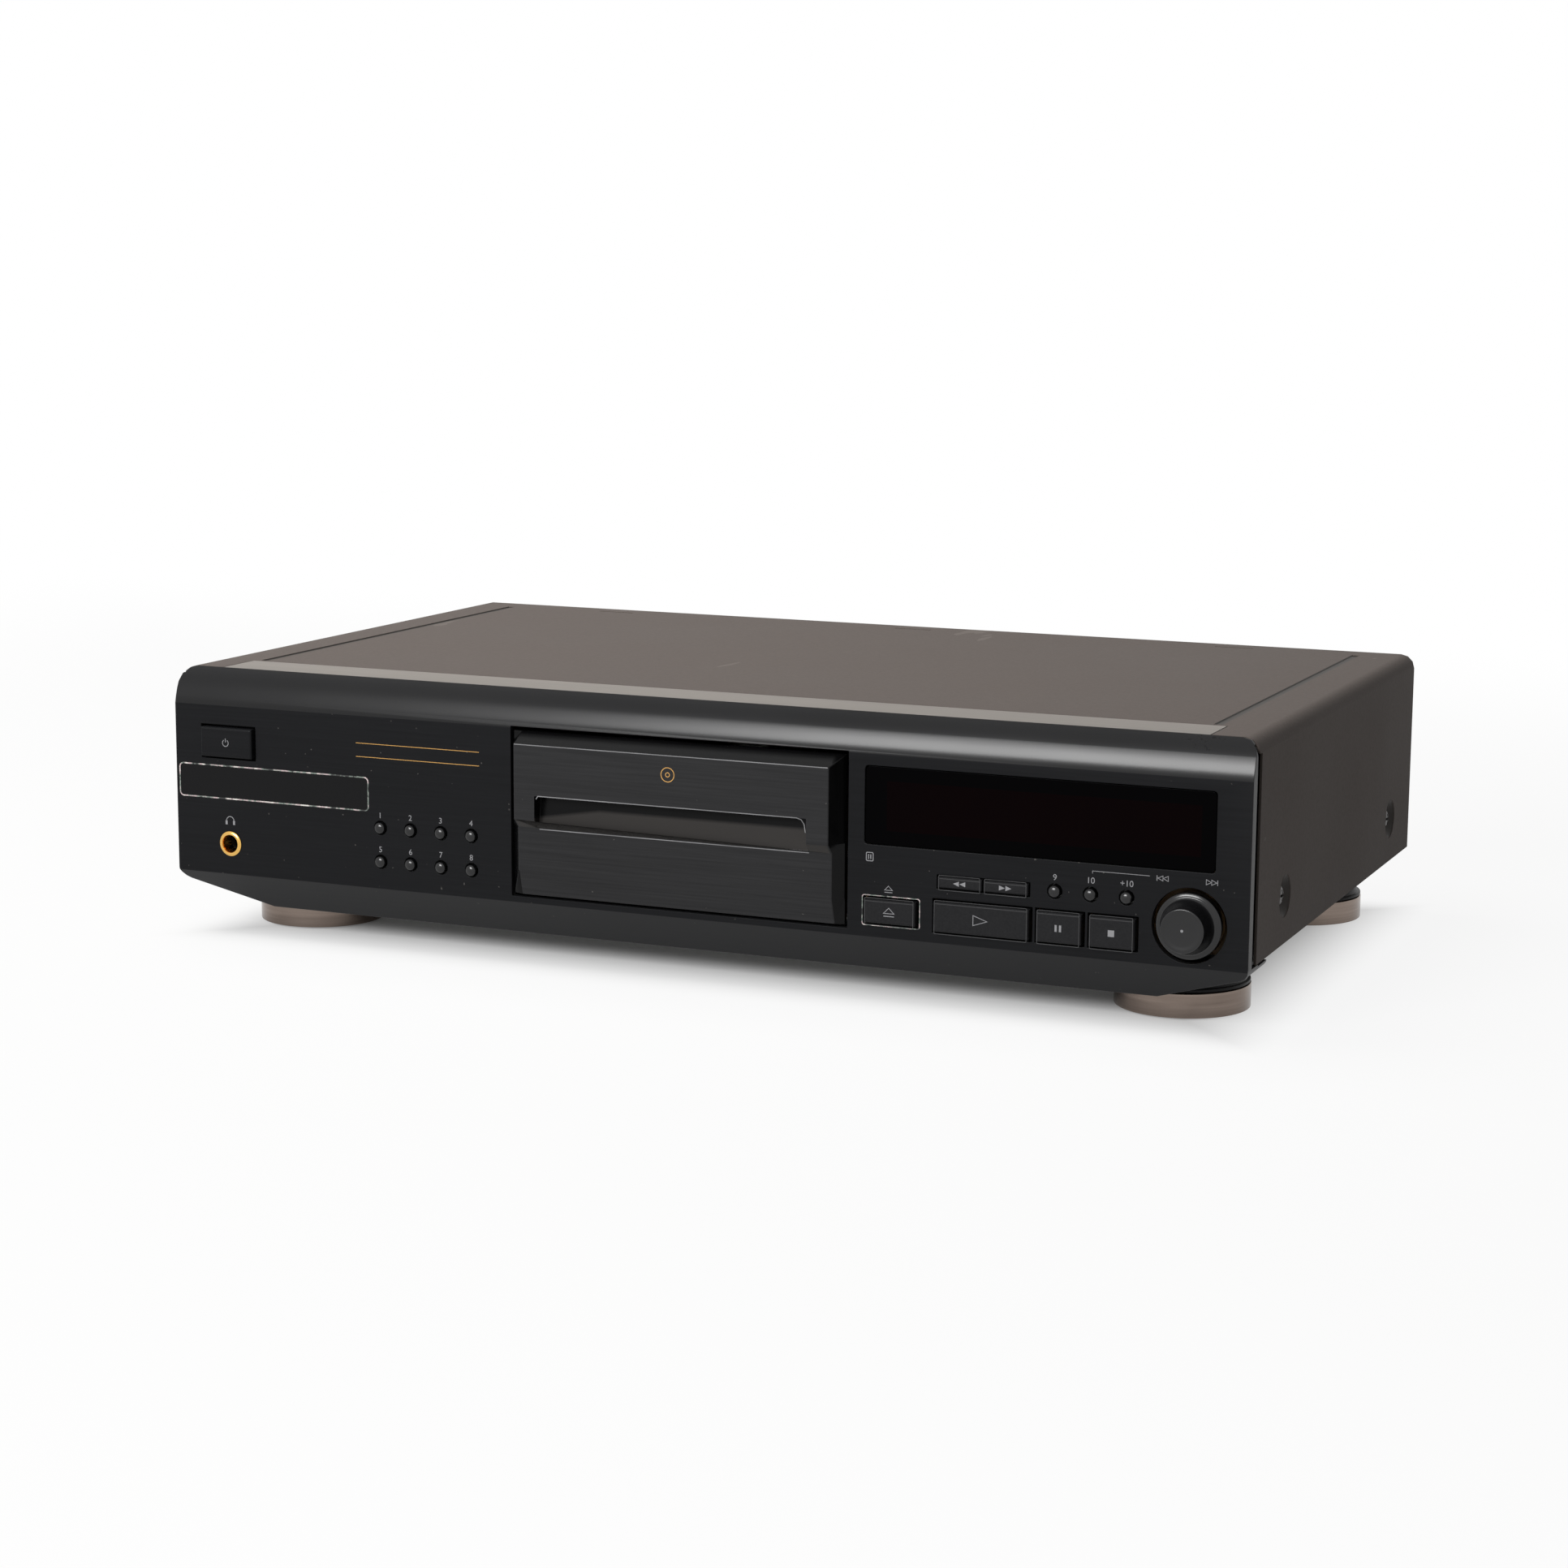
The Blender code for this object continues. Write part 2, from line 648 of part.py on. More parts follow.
def make_front_panel(finish):
    inner_fold = CHIN_WALL
    side = [(CHIN_DEPTH, -CHIN_HEIGHT), (0, 0)] + roll_points(0, CASE_TOP)
    side += [(LIP_DEPTH, CASE_TOP), (LIP_DEPTH, CASE_TOP - LIP_THICKNESS),
             (PANEL_TONGUE_DEPTH, CASE_TOP - LIP_THICKNESS), (PANEL_TONGUE_DEPTH, -PANEL_SOLE_GAP),
             (PANEL_SOLE_DEPTH, -PANEL_SOLE_GAP), (PANEL_SOLE_DEPTH, -PANEL_SOLE_DROP),
             (inner_fold + PANEL_SOLE_DROP * CHIN_DEPTH / CHIN_HEIGHT, -PANEL_SOLE_DROP),
             (CHIN_DEPTH + CHIN_WALL, -CHIN_HEIGHT)]
    mesh = bmesh.new()
    prism(mesh, placed(side), "x", -HALF_WIDTH, HALF_WIDTH)
    bosses = bmesh.new()
    for x, height in boss_places():
        rod(bosses, "y", (x, 0, up(height)), BOSS_RADIUS, back(PANEL_WALL - BOSS_SINK),
            back(BOARD_DEPTH - SEAM_GAP))
    item = shown("front_panel", mesh, finish)

    slope = CHIN_CUT_HEIGHT / CHIN_CUT_WIDTH
    below = CUT_OVERRUN
    cut_x = HALF_WIDTH - CHIN_CUT_WIDTH - below / slope
    right = [(cut_x, -CHIN_HEIGHT - below), (HALF_WIDTH, -CHIN_HEIGHT + CHIN_CUT_HEIGHT),
             (HALF_WIDTH, CASE_TOP)]
    left = [(-x, z) for x, z in reversed(right)]
    radii = [0, PANEL_LOW_RADIUS, PANEL_TOP_RADIUS, PANEL_TOP_RADIUS, PANEL_LOW_RADIUS, 0]
    outline = [(x, up(z)) for x, z in rounded(right + left, radii)]
    envelope = bmesh.new()
    prism(envelope, outline, "y", back(-CUT_OVERRUN), back(LIP_DEPTH + CUT_OVERRUN))
    combine(item, envelope, "INTERSECT")

    hollow = [(PANEL_WALL, -PANEL_SOLE_GAP + HOLLOW_STEP)]
    hollow += roll_points(PANEL_WALL, CASE_TOP - LIP_THICKNESS - HOLLOW_STEP)
    hollow += [(LIP_DEPTH + CUT_OVERRUN, CASE_TOP - LIP_THICKNESS - HOLLOW_STEP),
               (LIP_DEPTH + CUT_OVERRUN, -PANEL_SOLE_GAP + HOLLOW_STEP)]
    cavity = bmesh.new()
    inside = HALF_WIDTH - PANEL_TONGUE_INSET - PANEL_WALL
    prism(cavity, placed(hollow), "x", -inside, inside)
    combine(item, cavity, "DIFFERENCE")
    combine(item, bosses, "UNION")

    cuts = bmesh.new()
    for sign in (-1, 1):
        tongue = sorted((sign * (HALF_WIDTH - PANEL_TONGUE_INSET), sign * (HALF_WIDTH + CUT_OVERRUN)))
        box(cuts, *tongue, back(PANEL_SIDE_DEPTH), back(PANEL_TONGUE_DEPTH + CUT_OVERRUN),
            up(COVER_LOW - SEAM_GAP), up(CASE_TOP + 2 * CUT_OVERRUN))
        end = sorted((sign * (HALF_WIDTH - LIP_END_INSET), sign * (HALF_WIDTH + 2 * CUT_OVERRUN)))
        box(cuts, *end, back(ROLL_DEPTH), back(LIP_DEPTH + CUT_OVERRUN),
            up(CASE_TOP - COVER_BEND), up(CASE_TOP + CUT_OVERRUN))
    combine(item, cuts, "DIFFERENCE")

    openings = bmesh.new()
    front = back(-CUT_OVERRUN)
    behind = back(PANEL_WALL + CUT_OVERRUN)
    prism(openings, [(x, up(z)) for x, z in rectangle(
        -DOOR_OPENING_HALF, DOOR_OPENING_HALF, DOOR_OPENING_LOW, DOOR_OPENING_TOP)], "y", front, behind)
    window = rounded(rectangle(WINDOW_LEFT, WINDOW_RIGHT, WINDOW_LOW, WINDOW_TOP), WINDOW_RADIUS, 2)
    prism(openings, [(x, up(z)) for x, z in window], "y", front, behind)
    for sizes in key_openings().values():
        prism(openings, [(x, up(z)) for x, z in rectangle(*sizes)], "y", front, behind)
    left, right = round_places()
    for x, height in left + right:
        rod(openings, "y", (x, 0, up(height)), ROUND_HOLE_RADIUS, front, behind)
    rod(openings, "y", (PHONES_X, 0, up(PHONES_HEIGHT)), PHONES_BARREL_RADIUS + SEAM_GAP, front, behind,
        ROUND)
    rod(openings, "y", (KNOB_X, 0, up(KNOB_HEIGHT)), KNOB_HOLE_RADIUS, front, behind, FINE)
    combine(item, openings, "DIFFERENCE")


def make_cover(finish):
    """Bent sheet with long grooves, rear vents and dished screw seats; its front is notched round the lip."""
    outer = rounded([(-HALF_WIDTH, COVER_LOW), (-HALF_WIDTH, CASE_TOP),
                     (HALF_WIDTH, CASE_TOP), (HALF_WIDTH, COVER_LOW)],
                    [0, COVER_BEND, COVER_BEND, 0], CORNER_STEPS)
    half = HALF_WIDTH - COVER_SHEET
    inner = rounded([(-half, COVER_LOW), (-half, CASE_TOP - COVER_SHEET),
                     (half, CASE_TOP - COVER_SHEET), (half, COVER_LOW)],
                    [0, COVER_BEND - COVER_SHEET, COVER_BEND - COVER_SHEET, 0], CORNER_STEPS)
    mesh = bmesh.new()
    prism(mesh, [(x, up(z)) for x, z in outer + inner[::-1]], "y", back(ROLL_DEPTH + SEAM_GAP),
          back(CASE_DEPTH))
    item = shown("top_cover", mesh, finish)

    dishes = bmesh.new()
    cuts = bmesh.new()
    lip = HALF_WIDTH - LIP_END_INSET + SEAM_GAP
    box(cuts, -lip, lip, back(-CUT_OVERRUN), back(LIP_DEPTH + SEAM_GAP),
        up(CASE_TOP - COVER_SHEET - CUT_OVERRUN), up(CASE_TOP + CUT_OVERRUN))
    box(cuts, -HALF_WIDTH - CUT_OVERRUN, HALF_WIDTH + CUT_OVERRUN, back(-CUT_OVERRUN), back(COVER_SIDE_START),
        up(-CUT_OVERRUN), up(CASE_TOP - COVER_BEND))
    for sign in (-1, 1):
        middle = sign * (HALF_WIDTH - GROOVE_INSET)
        box(cuts, middle - GROOVE_WIDTH / 2, middle + GROOVE_WIDTH / 2, back(LIP_DEPTH + CUT_OVERRUN),
            back(CASE_DEPTH - GROOVE_END_MARGIN), up(CASE_TOP - GROOVE_DEPTH), up(CASE_TOP + CUT_OVERRUN))
    for x in (-VENT_SPREAD, 0, VENT_SPREAD):
        box(cuts, x - VENT_LENGTH / 2, x + VENT_LENGTH / 2, back(CASE_DEPTH - VENT_EDGE - VENT_WIDTH),
            back(CASE_DEPTH - VENT_EDGE), up(CASE_TOP - COVER_SHEET - CUT_OVERRUN), up(CASE_TOP + CUT_OVERRUN))
    for depth in COVER_SCREW_DEPTHS:
        for sign in (-1, 1):
            centre = (0, back(depth), up(COVER_SCREW_HEIGHT))
            rod(cuts, "x", centre, DISH_RADIUS, sign * (HALF_WIDTH - COVER_SHEET - CUT_OVERRUN),
                sign * (HALF_WIDTH + CUT_OVERRUN), ROUND)
            rim = sign * (HALF_WIDTH - DISH_SINK)
            rim_back = sign * (HALF_WIDTH - COVER_SHEET + DISH_SINK)
            floor = sign * (HALF_WIDTH - DISH_DEPTH)
            floor_back = sign * (HALF_WIDTH - DISH_DEPTH - COVER_SHEET)
            profile = [(DISH_RADIUS + DISH_OVERLAP, rim), (DISH_RADIUS, rim), (DISH_SEAT_RADIUS, floor),
                       (SCREW_HOLE_RADIUS, floor), (SCREW_HOLE_RADIUS, floor_back),
                       (DISH_SEAT_RADIUS + COVER_SHEET / 2, floor_back), (DISH_RADIUS + DISH_OVERLAP,
                                                                          rim_back)]
            turned(dishes, profile, "x", centre, ROUND, True)
    combine(item, cuts, "DIFFERENCE")
    combine(item, dishes, "UNION")


def foot_places():
    return [(x, back(depth)) for depth in FOOT_DEPTHS for x in (-FOOT_SPREAD, FOOT_SPREAD)]


def make_chassis(finish):
    outer = [(-CHASSIS_HALF, FLANGE_HEIGHT), (-CHASSIS_HALF, 0), (CHASSIS_HALF, 0),
             (CHASSIS_HALF, FLANGE_HEIGHT)]
    inner_half = CHASSIS_HALF - CHASSIS_SHEET
    inner = [(inner_half, FLANGE_HEIGHT), (inner_half, CHASSIS_SHEET),
             (-inner_half, CHASSIS_SHEET), (-inner_half, FLANGE_HEIGHT)]
    rear = REAR_FACE - REAR_SHEET - SEAM_GAP
    mesh = bmesh.new()
    prism(mesh, [(x, up(z)) for x, z in outer + inner], "y", back(CHASSIS_FRONT), back(rear))
    item = shown("chassis_base", mesh, finish)
    flange = bmesh.new()
    box(flange, -inner_half - CHASSIS_SHEET / 2, inner_half + CHASSIS_SHEET / 2, back(rear - CHASSIS_SHEET),
        back(rear), up(CHASSIS_SHEET / 2), up(REAR_FLANGE_HEIGHT))
    combine(item, flange, "UNION")
    holes = bmesh.new()
    for x, y in foot_places():
        rod(holes, "z", (x, y, 0), FOOT_SCREW_HOLE, up(-CUT_OVERRUN), up(CHASSIS_SHEET + CUT_OVERRUN))
    for depth in COVER_SCREW_DEPTHS:
        for sign in (-1, 1):
            rod(holes, "x", (0, back(depth), up(COVER_SCREW_HEIGHT)), SCREW_HOLE_RADIUS,
                sign * (inner_half - CUT_OVERRUN), sign * (CHASSIS_HALF + CUT_OVERRUN))
    for spread in REAR_SCREW_SPREADS:
        for x in (-spread, spread):
            rod(holes, "y", (x, 0, up(REAR_SCREW_HEIGHT)), SCREW_HOLE_RADIUS,
                back(rear - CHASSIS_SHEET - CUT_OVERRUN), back(rear + CUT_OVERRUN))
    combine(item, holes, "DIFFERENCE")


def make_feet(finish):
    """Round foot in one piece with its skirt and pad: neck, bead, skirt, sole pad, and a deep screw well."""
    floor = -FOOT_HEIGHT
    skirt_top = floor + FOOT_SKIRT_HEIGHT
    skirt_low = floor + FOOT_SKIRT_LIFT
    profile = [(FOOT_SCREW_HOLE, -SEAM_GAP), (FOOT_TOP_RADIUS, -SEAM_GAP),
               (FOOT_NECK_RADIUS, skirt_top + FOOT_BEAD),
               (FOOT_RADIUS - SEAM_GAP, skirt_top + FOOT_BEAD), (FOOT_RADIUS - SEAM_GAP, skirt_top),
               (FOOT_RADIUS, skirt_top), (FOOT_RADIUS, skirt_low), (FOOT_RADIUS - FOOT_SKIRT_WALL, skirt_low),
               (FOOT_RADIUS - FOOT_SKIRT_WALL, skirt_low + FOOT_PAD_THICKNESS),
               (FOOT_PAD_RADIUS, skirt_low + FOOT_PAD_THICKNESS), (FOOT_PAD_RADIUS, floor),
               (FOOT_COUNTERBORE, floor), (FOOT_COUNTERBORE, -FOOT_COUNTERBORE_TOP),
               (FOOT_SCREW_HOLE, -FOOT_COUNTERBORE_TOP)]
    for row, depth in zip(("front", "rear"), FOOT_DEPTHS):
        for side, x in (("left", -FOOT_SPREAD), ("right", FOOT_SPREAD)):
            mesh = bmesh.new()
            turned(mesh, profile, "z", (x, back(depth), up(0)), ROUND, True)
            shown("foot_" + row + "_" + side, mesh, finish)


def make_tray_door(finish):
    side = [(DOOR_BACK, DOOR_LOW), (-DOOR_FOOT_OUT, DOOR_LOW), (-DOOR_LOW_OUT, DOOR_TAPER_TOP),
            (-DOOR_LOW_OUT, DOOR_STEP_LOW), (-DOOR_FACE_OUT, DOOR_STEP_TOP), (-DOOR_FACE_OUT, DOOR_FACE_TOP),
            (0, DOOR_TOP), (DOOR_BACK, DOOR_TOP)]
    mesh = bmesh.new()
    flared(mesh, placed(side), DOOR_HALF, DOOR_END_HALF, back(DOOR_END_DEPTH))
    item = shown("tray_door", mesh, finish)
    grip = [(-DOOR_FACE_OUT - CUT_OVERRUN, DOOR_STEP_LOW + HOLLOW_STEP),
            (-DOOR_LOW_OUT + HOLLOW_STEP, DOOR_STEP_LOW + HOLLOW_STEP),
            (-GRIP_FLOOR_OUT, GRIP_TOP), (-DOOR_FACE_OUT - CUT_OVERRUN, GRIP_TOP)]
    groove = bmesh.new()
    prism(groove, placed(grip), "x", -GRIP_HALF, GRIP_HALF)
    combine(item, groove, "DIFFERENCE")


def make_display_window(finish):
    gap = SEAM_GAP
    pane = rounded(rectangle(WINDOW_LEFT + gap, WINDOW_RIGHT - gap, WINDOW_LOW + gap, WINDOW_TOP - gap),
                   WINDOW_RADIUS, 2)
    mesh = bmesh.new()
    prism(mesh, [(x, up(z)) for x, z in pane], "y", back(WINDOW_SINK), back(WINDOW_SINK + WINDOW_THICKNESS))
    shown("display_window", mesh, finish)


def switch_places():
    left, right = round_places()
    places = left + right
    for name, (low, high, bottom, top) in key_openings().items():
        if name == "seek":
            quarter = (high - low) / 4
            places += [(low + quarter, (bottom + top) / 2), (high - quarter, (bottom + top) / 2)]
        elif name != "power":
            places.append(((low + high) / 2, (bottom + top) / 2))
    return places


def make_front_board(name, left, right, top, finish):
    """A control board with its switches, and on the right one the encoder and the display tube."""
    low = PANEL_SOLE_DROP
    rear = back(BOARD_DEPTH + BOARD_THICKNESS)
    sink = back(BOARD_DEPTH + BOARD_THICKNESS / 2)
    mesh = bmesh.new()
    box(mesh, left, right, back(BOARD_DEPTH), rear, up(low), up(top))
    item = shown(name, mesh, finish)
    parts = bmesh.new()
    half = SWITCH_SIZE / 2
    for x, height in switch_places():
        if left < x < right:
            bottom = max(height - half, low + HOLLOW_STEP)
            box(parts, x - half, x + half, back(BOARD_DEPTH - SWITCH_DEPTH), sink, up(bottom),
                up(height + half))
    if left < KNOB_X < right:
        half = ENCODER_SIZE / 2
        box(parts, KNOB_X - half, KNOB_X + half, back(BOARD_DEPTH - ENCODER_DEPTH), sink,
            up(KNOB_HEIGHT - half), up(KNOB_HEIGHT + half))
        front = WINDOW_SINK + WINDOW_THICKNESS + SEAM_GAP
        box(parts, WINDOW_LEFT + DISPLAY_MARGIN, WINDOW_RIGHT - DISPLAY_MARGIN, back(front), sink,
            up(WINDOW_LOW + DISPLAY_LIFT), up(WINDOW_TOP - DISPLAY_LIFT))
    combine(item, parts, "UNION")


def make_key(name, sizes, finish, gap=BUTTON_GAP, out=BUTTON_OUT, travel=BUTTON_TRAVEL, rod_end=None):
    """A flat key: chamfered cap in its opening, flange behind the panel, stem towards its switch."""
    left, right, low, top = sizes
    x, z = (left + right) / 2, (low + top) / 2
    half_w, half_h = (right - left) / 2 - gap, (top - low) / 2 - gap
    mesh = bmesh.new()
    flange_front = PANEL_WALL + SEAM_GAP

    def ring(w, h, depth):
        return [mesh.verts.new((x + sx * w, back(depth), up(z + sz * h)))
                for sx, sz in ((-1, -1), (1, -1), (1, 1), (-1, 1))]
    stem = BUTTON_STEM / 2 if rod_end is None else POWER_ROD / 2
    stem_end = BOARD_DEPTH - SWITCH_DEPTH - travel - SEAM_GAP if rod_end is None else rod_end
    wide = min(BUTTON_FLANGE, gap + BUTTON_FLANGE)
    rings = [ring(half_w - BUTTON_CHAMFER, half_h - BUTTON_CHAMFER, -out),
             ring(half_w, half_h, -out + BUTTON_CHAMFER), ring(half_w, half_h, flange_front),
             ring(half_w, half_h + wide, flange_front),
             ring(half_w, half_h + wide, flange_front + BUTTON_FLANGE_THICKNESS),
             ring(stem, stem, flange_front + BUTTON_FLANGE_THICKNESS), ring(stem, stem, stem_end)]
    faces = [mesh.faces.new(rings[0]), mesh.faces.new(rings[-1])]
    for one, other in zip(rings, rings[1:]):
        for index in range(4):
            follow = (index + 1) % 4
            corners = [one[index], one[follow], other[follow], other[index]]
            faces.append(mesh.faces.new(corners))
    bmesh.ops.recalc_face_normals(mesh, faces=faces)
    shown(name, mesh, finish, (x, back(0), up(z)))


def make_round_button(name, x, height, finish):
    flange = PANEL_WALL + SEAM_GAP
    stem_end = BOARD_DEPTH - SWITCH_DEPTH - BUTTON_TRAVEL - SEAM_GAP
    tip = -ROUND_OUT - ROUND_DOME
    dome = [(ROUND_BUTTON_RADIUS * across, tip + ROUND_DOME * along) for across, along in DOME_SHARES]
    profile = [(0, tip)] + dome + [
               (ROUND_BUTTON_RADIUS, -ROUND_OUT),
               (ROUND_BUTTON_RADIUS, flange), (ROUND_FLANGE_RADIUS, flange),
               (ROUND_FLANGE_RADIUS, flange + BUTTON_FLANGE_THICKNESS),
               (ROUND_STEM_RADIUS, flange + BUTTON_FLANGE_THICKNESS), (ROUND_STEM_RADIUS, stem_end),
               (0, stem_end)]
    mesh = bmesh.new()
    turned(mesh, profile, "y", (x, back(0), up(height)), COARSE)
    shown(name, mesh, finish, (x, back(0), up(height)))


def make_buttons(finish):
    sizes = key_openings()
    make_key("power_button", sizes["power"], finish, travel=POWER_TRAVEL, rod_end=POWER_ROD_END)
    make_key("open_button", sizes["eject"], finish)
    for name in ("play", "pause", "stop"):
        make_key(name + "_button", sizes[name], finish)
    left, right, low, top = sizes["seek"]
    middle = (left + right) / 2
    shift = SEEK_GAP / 2
    make_key("rewind_button", (left, middle + shift, low, top), finish, SEEK_GAP, SEEK_OUT)
    make_key("forward_button", (middle - shift, right, low, top), finish, SEEK_GAP, SEEK_OUT)
    left_places, right_places = round_places()
    for index, (x, height) in enumerate(left_places):
        make_round_button("left_button_%d" % (index + 1), x, height, finish)
    for index, (x, height) in enumerate(right_places):
        make_round_button("right_button_%d" % (index + 1), x, height, finish)


def make_knob(finish):
    """Cap standing proud of a wide flange, with a hollow flank between them."""
    spread = KNOB_FLANGE_RADIUS - KNOB_CAP_RADIUS
    profile = [(0, -KNOB_OUT), (KNOB_CAP_RADIUS - BUTTON_CHAMFER, -KNOB_OUT)]
    profile += [(KNOB_CAP_RADIUS + spread * across, -KNOB_OUT * along) for across, along in KNOB_FLANK_SHARES]
    shaft_end = BOARD_DEPTH - ENCODER_DEPTH - SEAM_GAP
    profile += [(KNOB_FLANGE_RADIUS, KNOB_BACK), (KNOB_SHAFT_RADIUS, KNOB_BACK),
                (KNOB_SHAFT_RADIUS, shaft_end), (0, shaft_end)]
    centre = (KNOB_X, back(0), up(KNOB_HEIGHT))
    mesh = bmesh.new()
    turned(mesh, profile, "y", centre, FINE)
    shown("jog_knob", mesh, finish, centre)


def make_phones(gold, plastic):
    centre = (PHONES_X, 0, up(PHONES_HEIGHT))
    mesh = bmesh.new()
    profile = [(PHONES_BORE_RADIUS, back(-PHONES_RING_OUT)),
               (PHONES_RING_RADIUS, back(-PHONES_RING_OUT)), (PHONES_RING_RADIUS + SEAM_GAP, back(-SEAM_GAP)),
               (PHONES_BARREL_RADIUS, back(-SEAM_GAP)), (PHONES_BARREL_RADIUS, back(PHONES_BARREL_END)),
               (PHONES_BORE_RADIUS, back(PHONES_BARREL_END))]
    turned(mesh, profile, "y", centre, ROUND, True)
    shown("phones_bush", mesh, gold)
    mesh = bmesh.new()
    half = PHONES_BODY_HALF
    box(mesh, PHONES_X - half, PHONES_X + half, back(PHONES_BARREL_END + SEAM_GAP), back(PHONES_BODY_END),
        up(PHONES_HEIGHT - half), up(PHONES_HEIGHT + half))
    item = shown("phones_socket", mesh, plastic)
    bore = bmesh.new()
    rod(bore, "y", centre, PHONES_BORE_RADIUS, back(PHONES_BARREL_END - CUT_OVERRUN),
        back(PHONES_BARREL_END + PHONES_BORE_DEPTH), ROUND)
    combine(item, bore, "DIFFERENCE")


def line_places():
    return [(LINE_X + LINE_PITCH * shift, LINE_HEIGHT) for shift in (-0.5, 0.5)]


def make_rear(sheet, white, plastic):
    mesh = bmesh.new()
    half = CHASSIS_HALF - CHASSIS_SHEET - SEAM_GAP
    box(mesh, -half, half, back(REAR_FACE - REAR_SHEET), back(REAR_FACE), up(CHASSIS_SHEET + SEAM_GAP),
        up(CASE_TOP - COVER_SHEET - SEAM_GAP))
    item = shown("rear_panel", mesh, sheet)
    holes = bmesh.new()
    front, rear = back(REAR_FACE - REAR_SHEET - CUT_OVERRUN), back(REAR_FACE + CUT_OVERRUN)
    for spread in REAR_SCREW_SPREADS:
        for x in (-spread, spread):
            rod(holes, "y", (x, 0, up(REAR_SCREW_HEIGHT)), SCREW_HOLE_RADIUS, front, rear)
    for x, height in line_places():
        rod(holes, "y", (x, 0, up(height)), LINE_COLLAR_RADIUS + SEAM_GAP, front, rear, ROUND)
    box(holes, DIGITAL_X - DIGITAL_HALF - SEAM_GAP, DIGITAL_X + DIGITAL_HALF + SEAM_GAP, front, rear,
        up(DIGITAL_HEIGHT - DIGITAL_HALF - SEAM_GAP), up(DIGITAL_HEIGHT + DIGITAL_HALF + SEAM_GAP))
    wide = INLET_HALF_WIDTH + SEAM_GAP
    tall = INLET_HALF_HEIGHT + SEAM_GAP
    box(holes, INLET_X - wide, INLET_X + wide, front, rear, up(INLET_HEIGHT - tall), up(INLET_HEIGHT + tall))
    combine(item, holes, "DIFFERENCE")

    mesh = bmesh.new()
    body_rear = REAR_FACE - REAR_SHEET - SEAM_GAP
    reach = LINE_PITCH / 2 + LINE_BODY_MARGIN
    box(mesh, LINE_X - reach, LINE_X + reach, back(body_rear - LINE_BODY_DEPTH), back(body_rear),
        up(LINE_HEIGHT - LINE_BODY_MARGIN), up(LINE_HEIGHT + LINE_BODY_MARGIN))
    item = shown("line_sockets", mesh, white)
    barrels = bmesh.new()
    for x, height in line_places():
        profile = [(0, body_rear - LINE_BODY_DEPTH / 2),
                   (LINE_COLLAR_RADIUS, body_rear - LINE_BODY_DEPTH / 2),
                   (LINE_COLLAR_RADIUS, REAR_FACE + LINE_COLLAR), (LINE_RADIUS, REAR_FACE + LINE_COLLAR),
                   (LINE_RADIUS, REAR_FACE + LINE_OUT), (0, REAR_FACE + LINE_OUT)]
        turned(barrels, [(radius, back(depth)) for radius, depth in profile], "y", (x, 0, up(height)), ROUND)
    combine(item, barrels, "UNION")
    bores = bmesh.new()
    for x, height in line_places():
        rod(bores, "y", (x, 0, up(height)), LINE_PIN_RADIUS, back(body_rear - LINE_BODY_DEPTH / 2),
            back(REAR_FACE + LINE_OUT + CUT_OVERRUN))
    combine(item, bores, "DIFFERENCE")

    mesh = bmesh.new()
    box(mesh, DIGITAL_X - DIGITAL_HALF, DIGITAL_X + DIGITAL_HALF,
        back(REAR_FACE - REAR_SHEET - DIGITAL_BODY_DEPTH),
        back(REAR_FACE + DIGITAL_OUT), up(DIGITAL_HEIGHT - DIGITAL_HALF), up(DIGITAL_HEIGHT + DIGITAL_HALF))
    item = shown("digital_socket", mesh, plastic)
    hole = bmesh.new()
    box(hole, DIGITAL_X - DIGITAL_HOLE_HALF, DIGITAL_X + DIGITAL_HOLE_HALF,
        back(REAR_FACE - DIGITAL_BODY_DEPTH / 2),
        back(REAR_FACE + DIGITAL_OUT + CUT_OVERRUN), up(DIGITAL_HEIGHT - DIGITAL_HOLE_HALF),
        up(DIGITAL_HEIGHT + DIGITAL_HOLE_HALF))
    combine(item, hole, "DIFFERENCE")

    mesh = bmesh.new()
    box(mesh, INLET_X - INLET_HALF_WIDTH, INLET_X + INLET_HALF_WIDTH, back(REAR_FACE - INLET_DEPTH),
        back(REAR_FACE + INLET_OUT), up(INLET_HEIGHT - INLET_HALF_HEIGHT), up(INLET_HEIGHT + INLET_HALF_HEIGHT))
    item = shown("mains_inlet", mesh, plastic)
    flange = bmesh.new()
    box(flange, INLET_X - INLET_HALF_WIDTH - INLET_FLANGE, INLET_X + INLET_HALF_WIDTH + INLET_FLANGE,
        back(REAR_FACE + SEAM_GAP), back(REAR_FACE + INLET_OUT - HOLLOW_STEP),
        up(INLET_HEIGHT - INLET_HALF_HEIGHT - INLET_FLANGE), up(INLET_HEIGHT + INLET_HALF_HEIGHT + INLET_FLANGE))
    combine(item, flange, "UNION")
    hole = bmesh.new()
    wide = INLET_HALF_WIDTH - INLET_WALL
    tall = INLET_HALF_HEIGHT - INLET_WALL
    outline = rounded(rectangle(INLET_X - wide, INLET_X + wide, INLET_HEIGHT - tall, INLET_HEIGHT + tall),
                      tall * INLET_CORNER_SHARE, CORNER_STEPS)
    prism(hole, [(x, up(z)) for x, z in outline], "y", back(REAR_FACE - INLET_DEPTH + INLET_WALL),
          back(REAR_FACE + INLET_OUT + CUT_OVERRUN))
    combine(item, hole, "DIFFERENCE")
    pins = bmesh.new()
    for sign in (-1, 1):
        rod(pins, "y", (INLET_X + sign * INLET_PIN_SPREAD, 0, up(INLET_HEIGHT)), INLET_PIN_RADIUS,
            back(REAR_FACE - INLET_DEPTH + INLET_WALL / 2), back(REAR_FACE - INLET_WALL))
    combine(item, pins, "UNION")


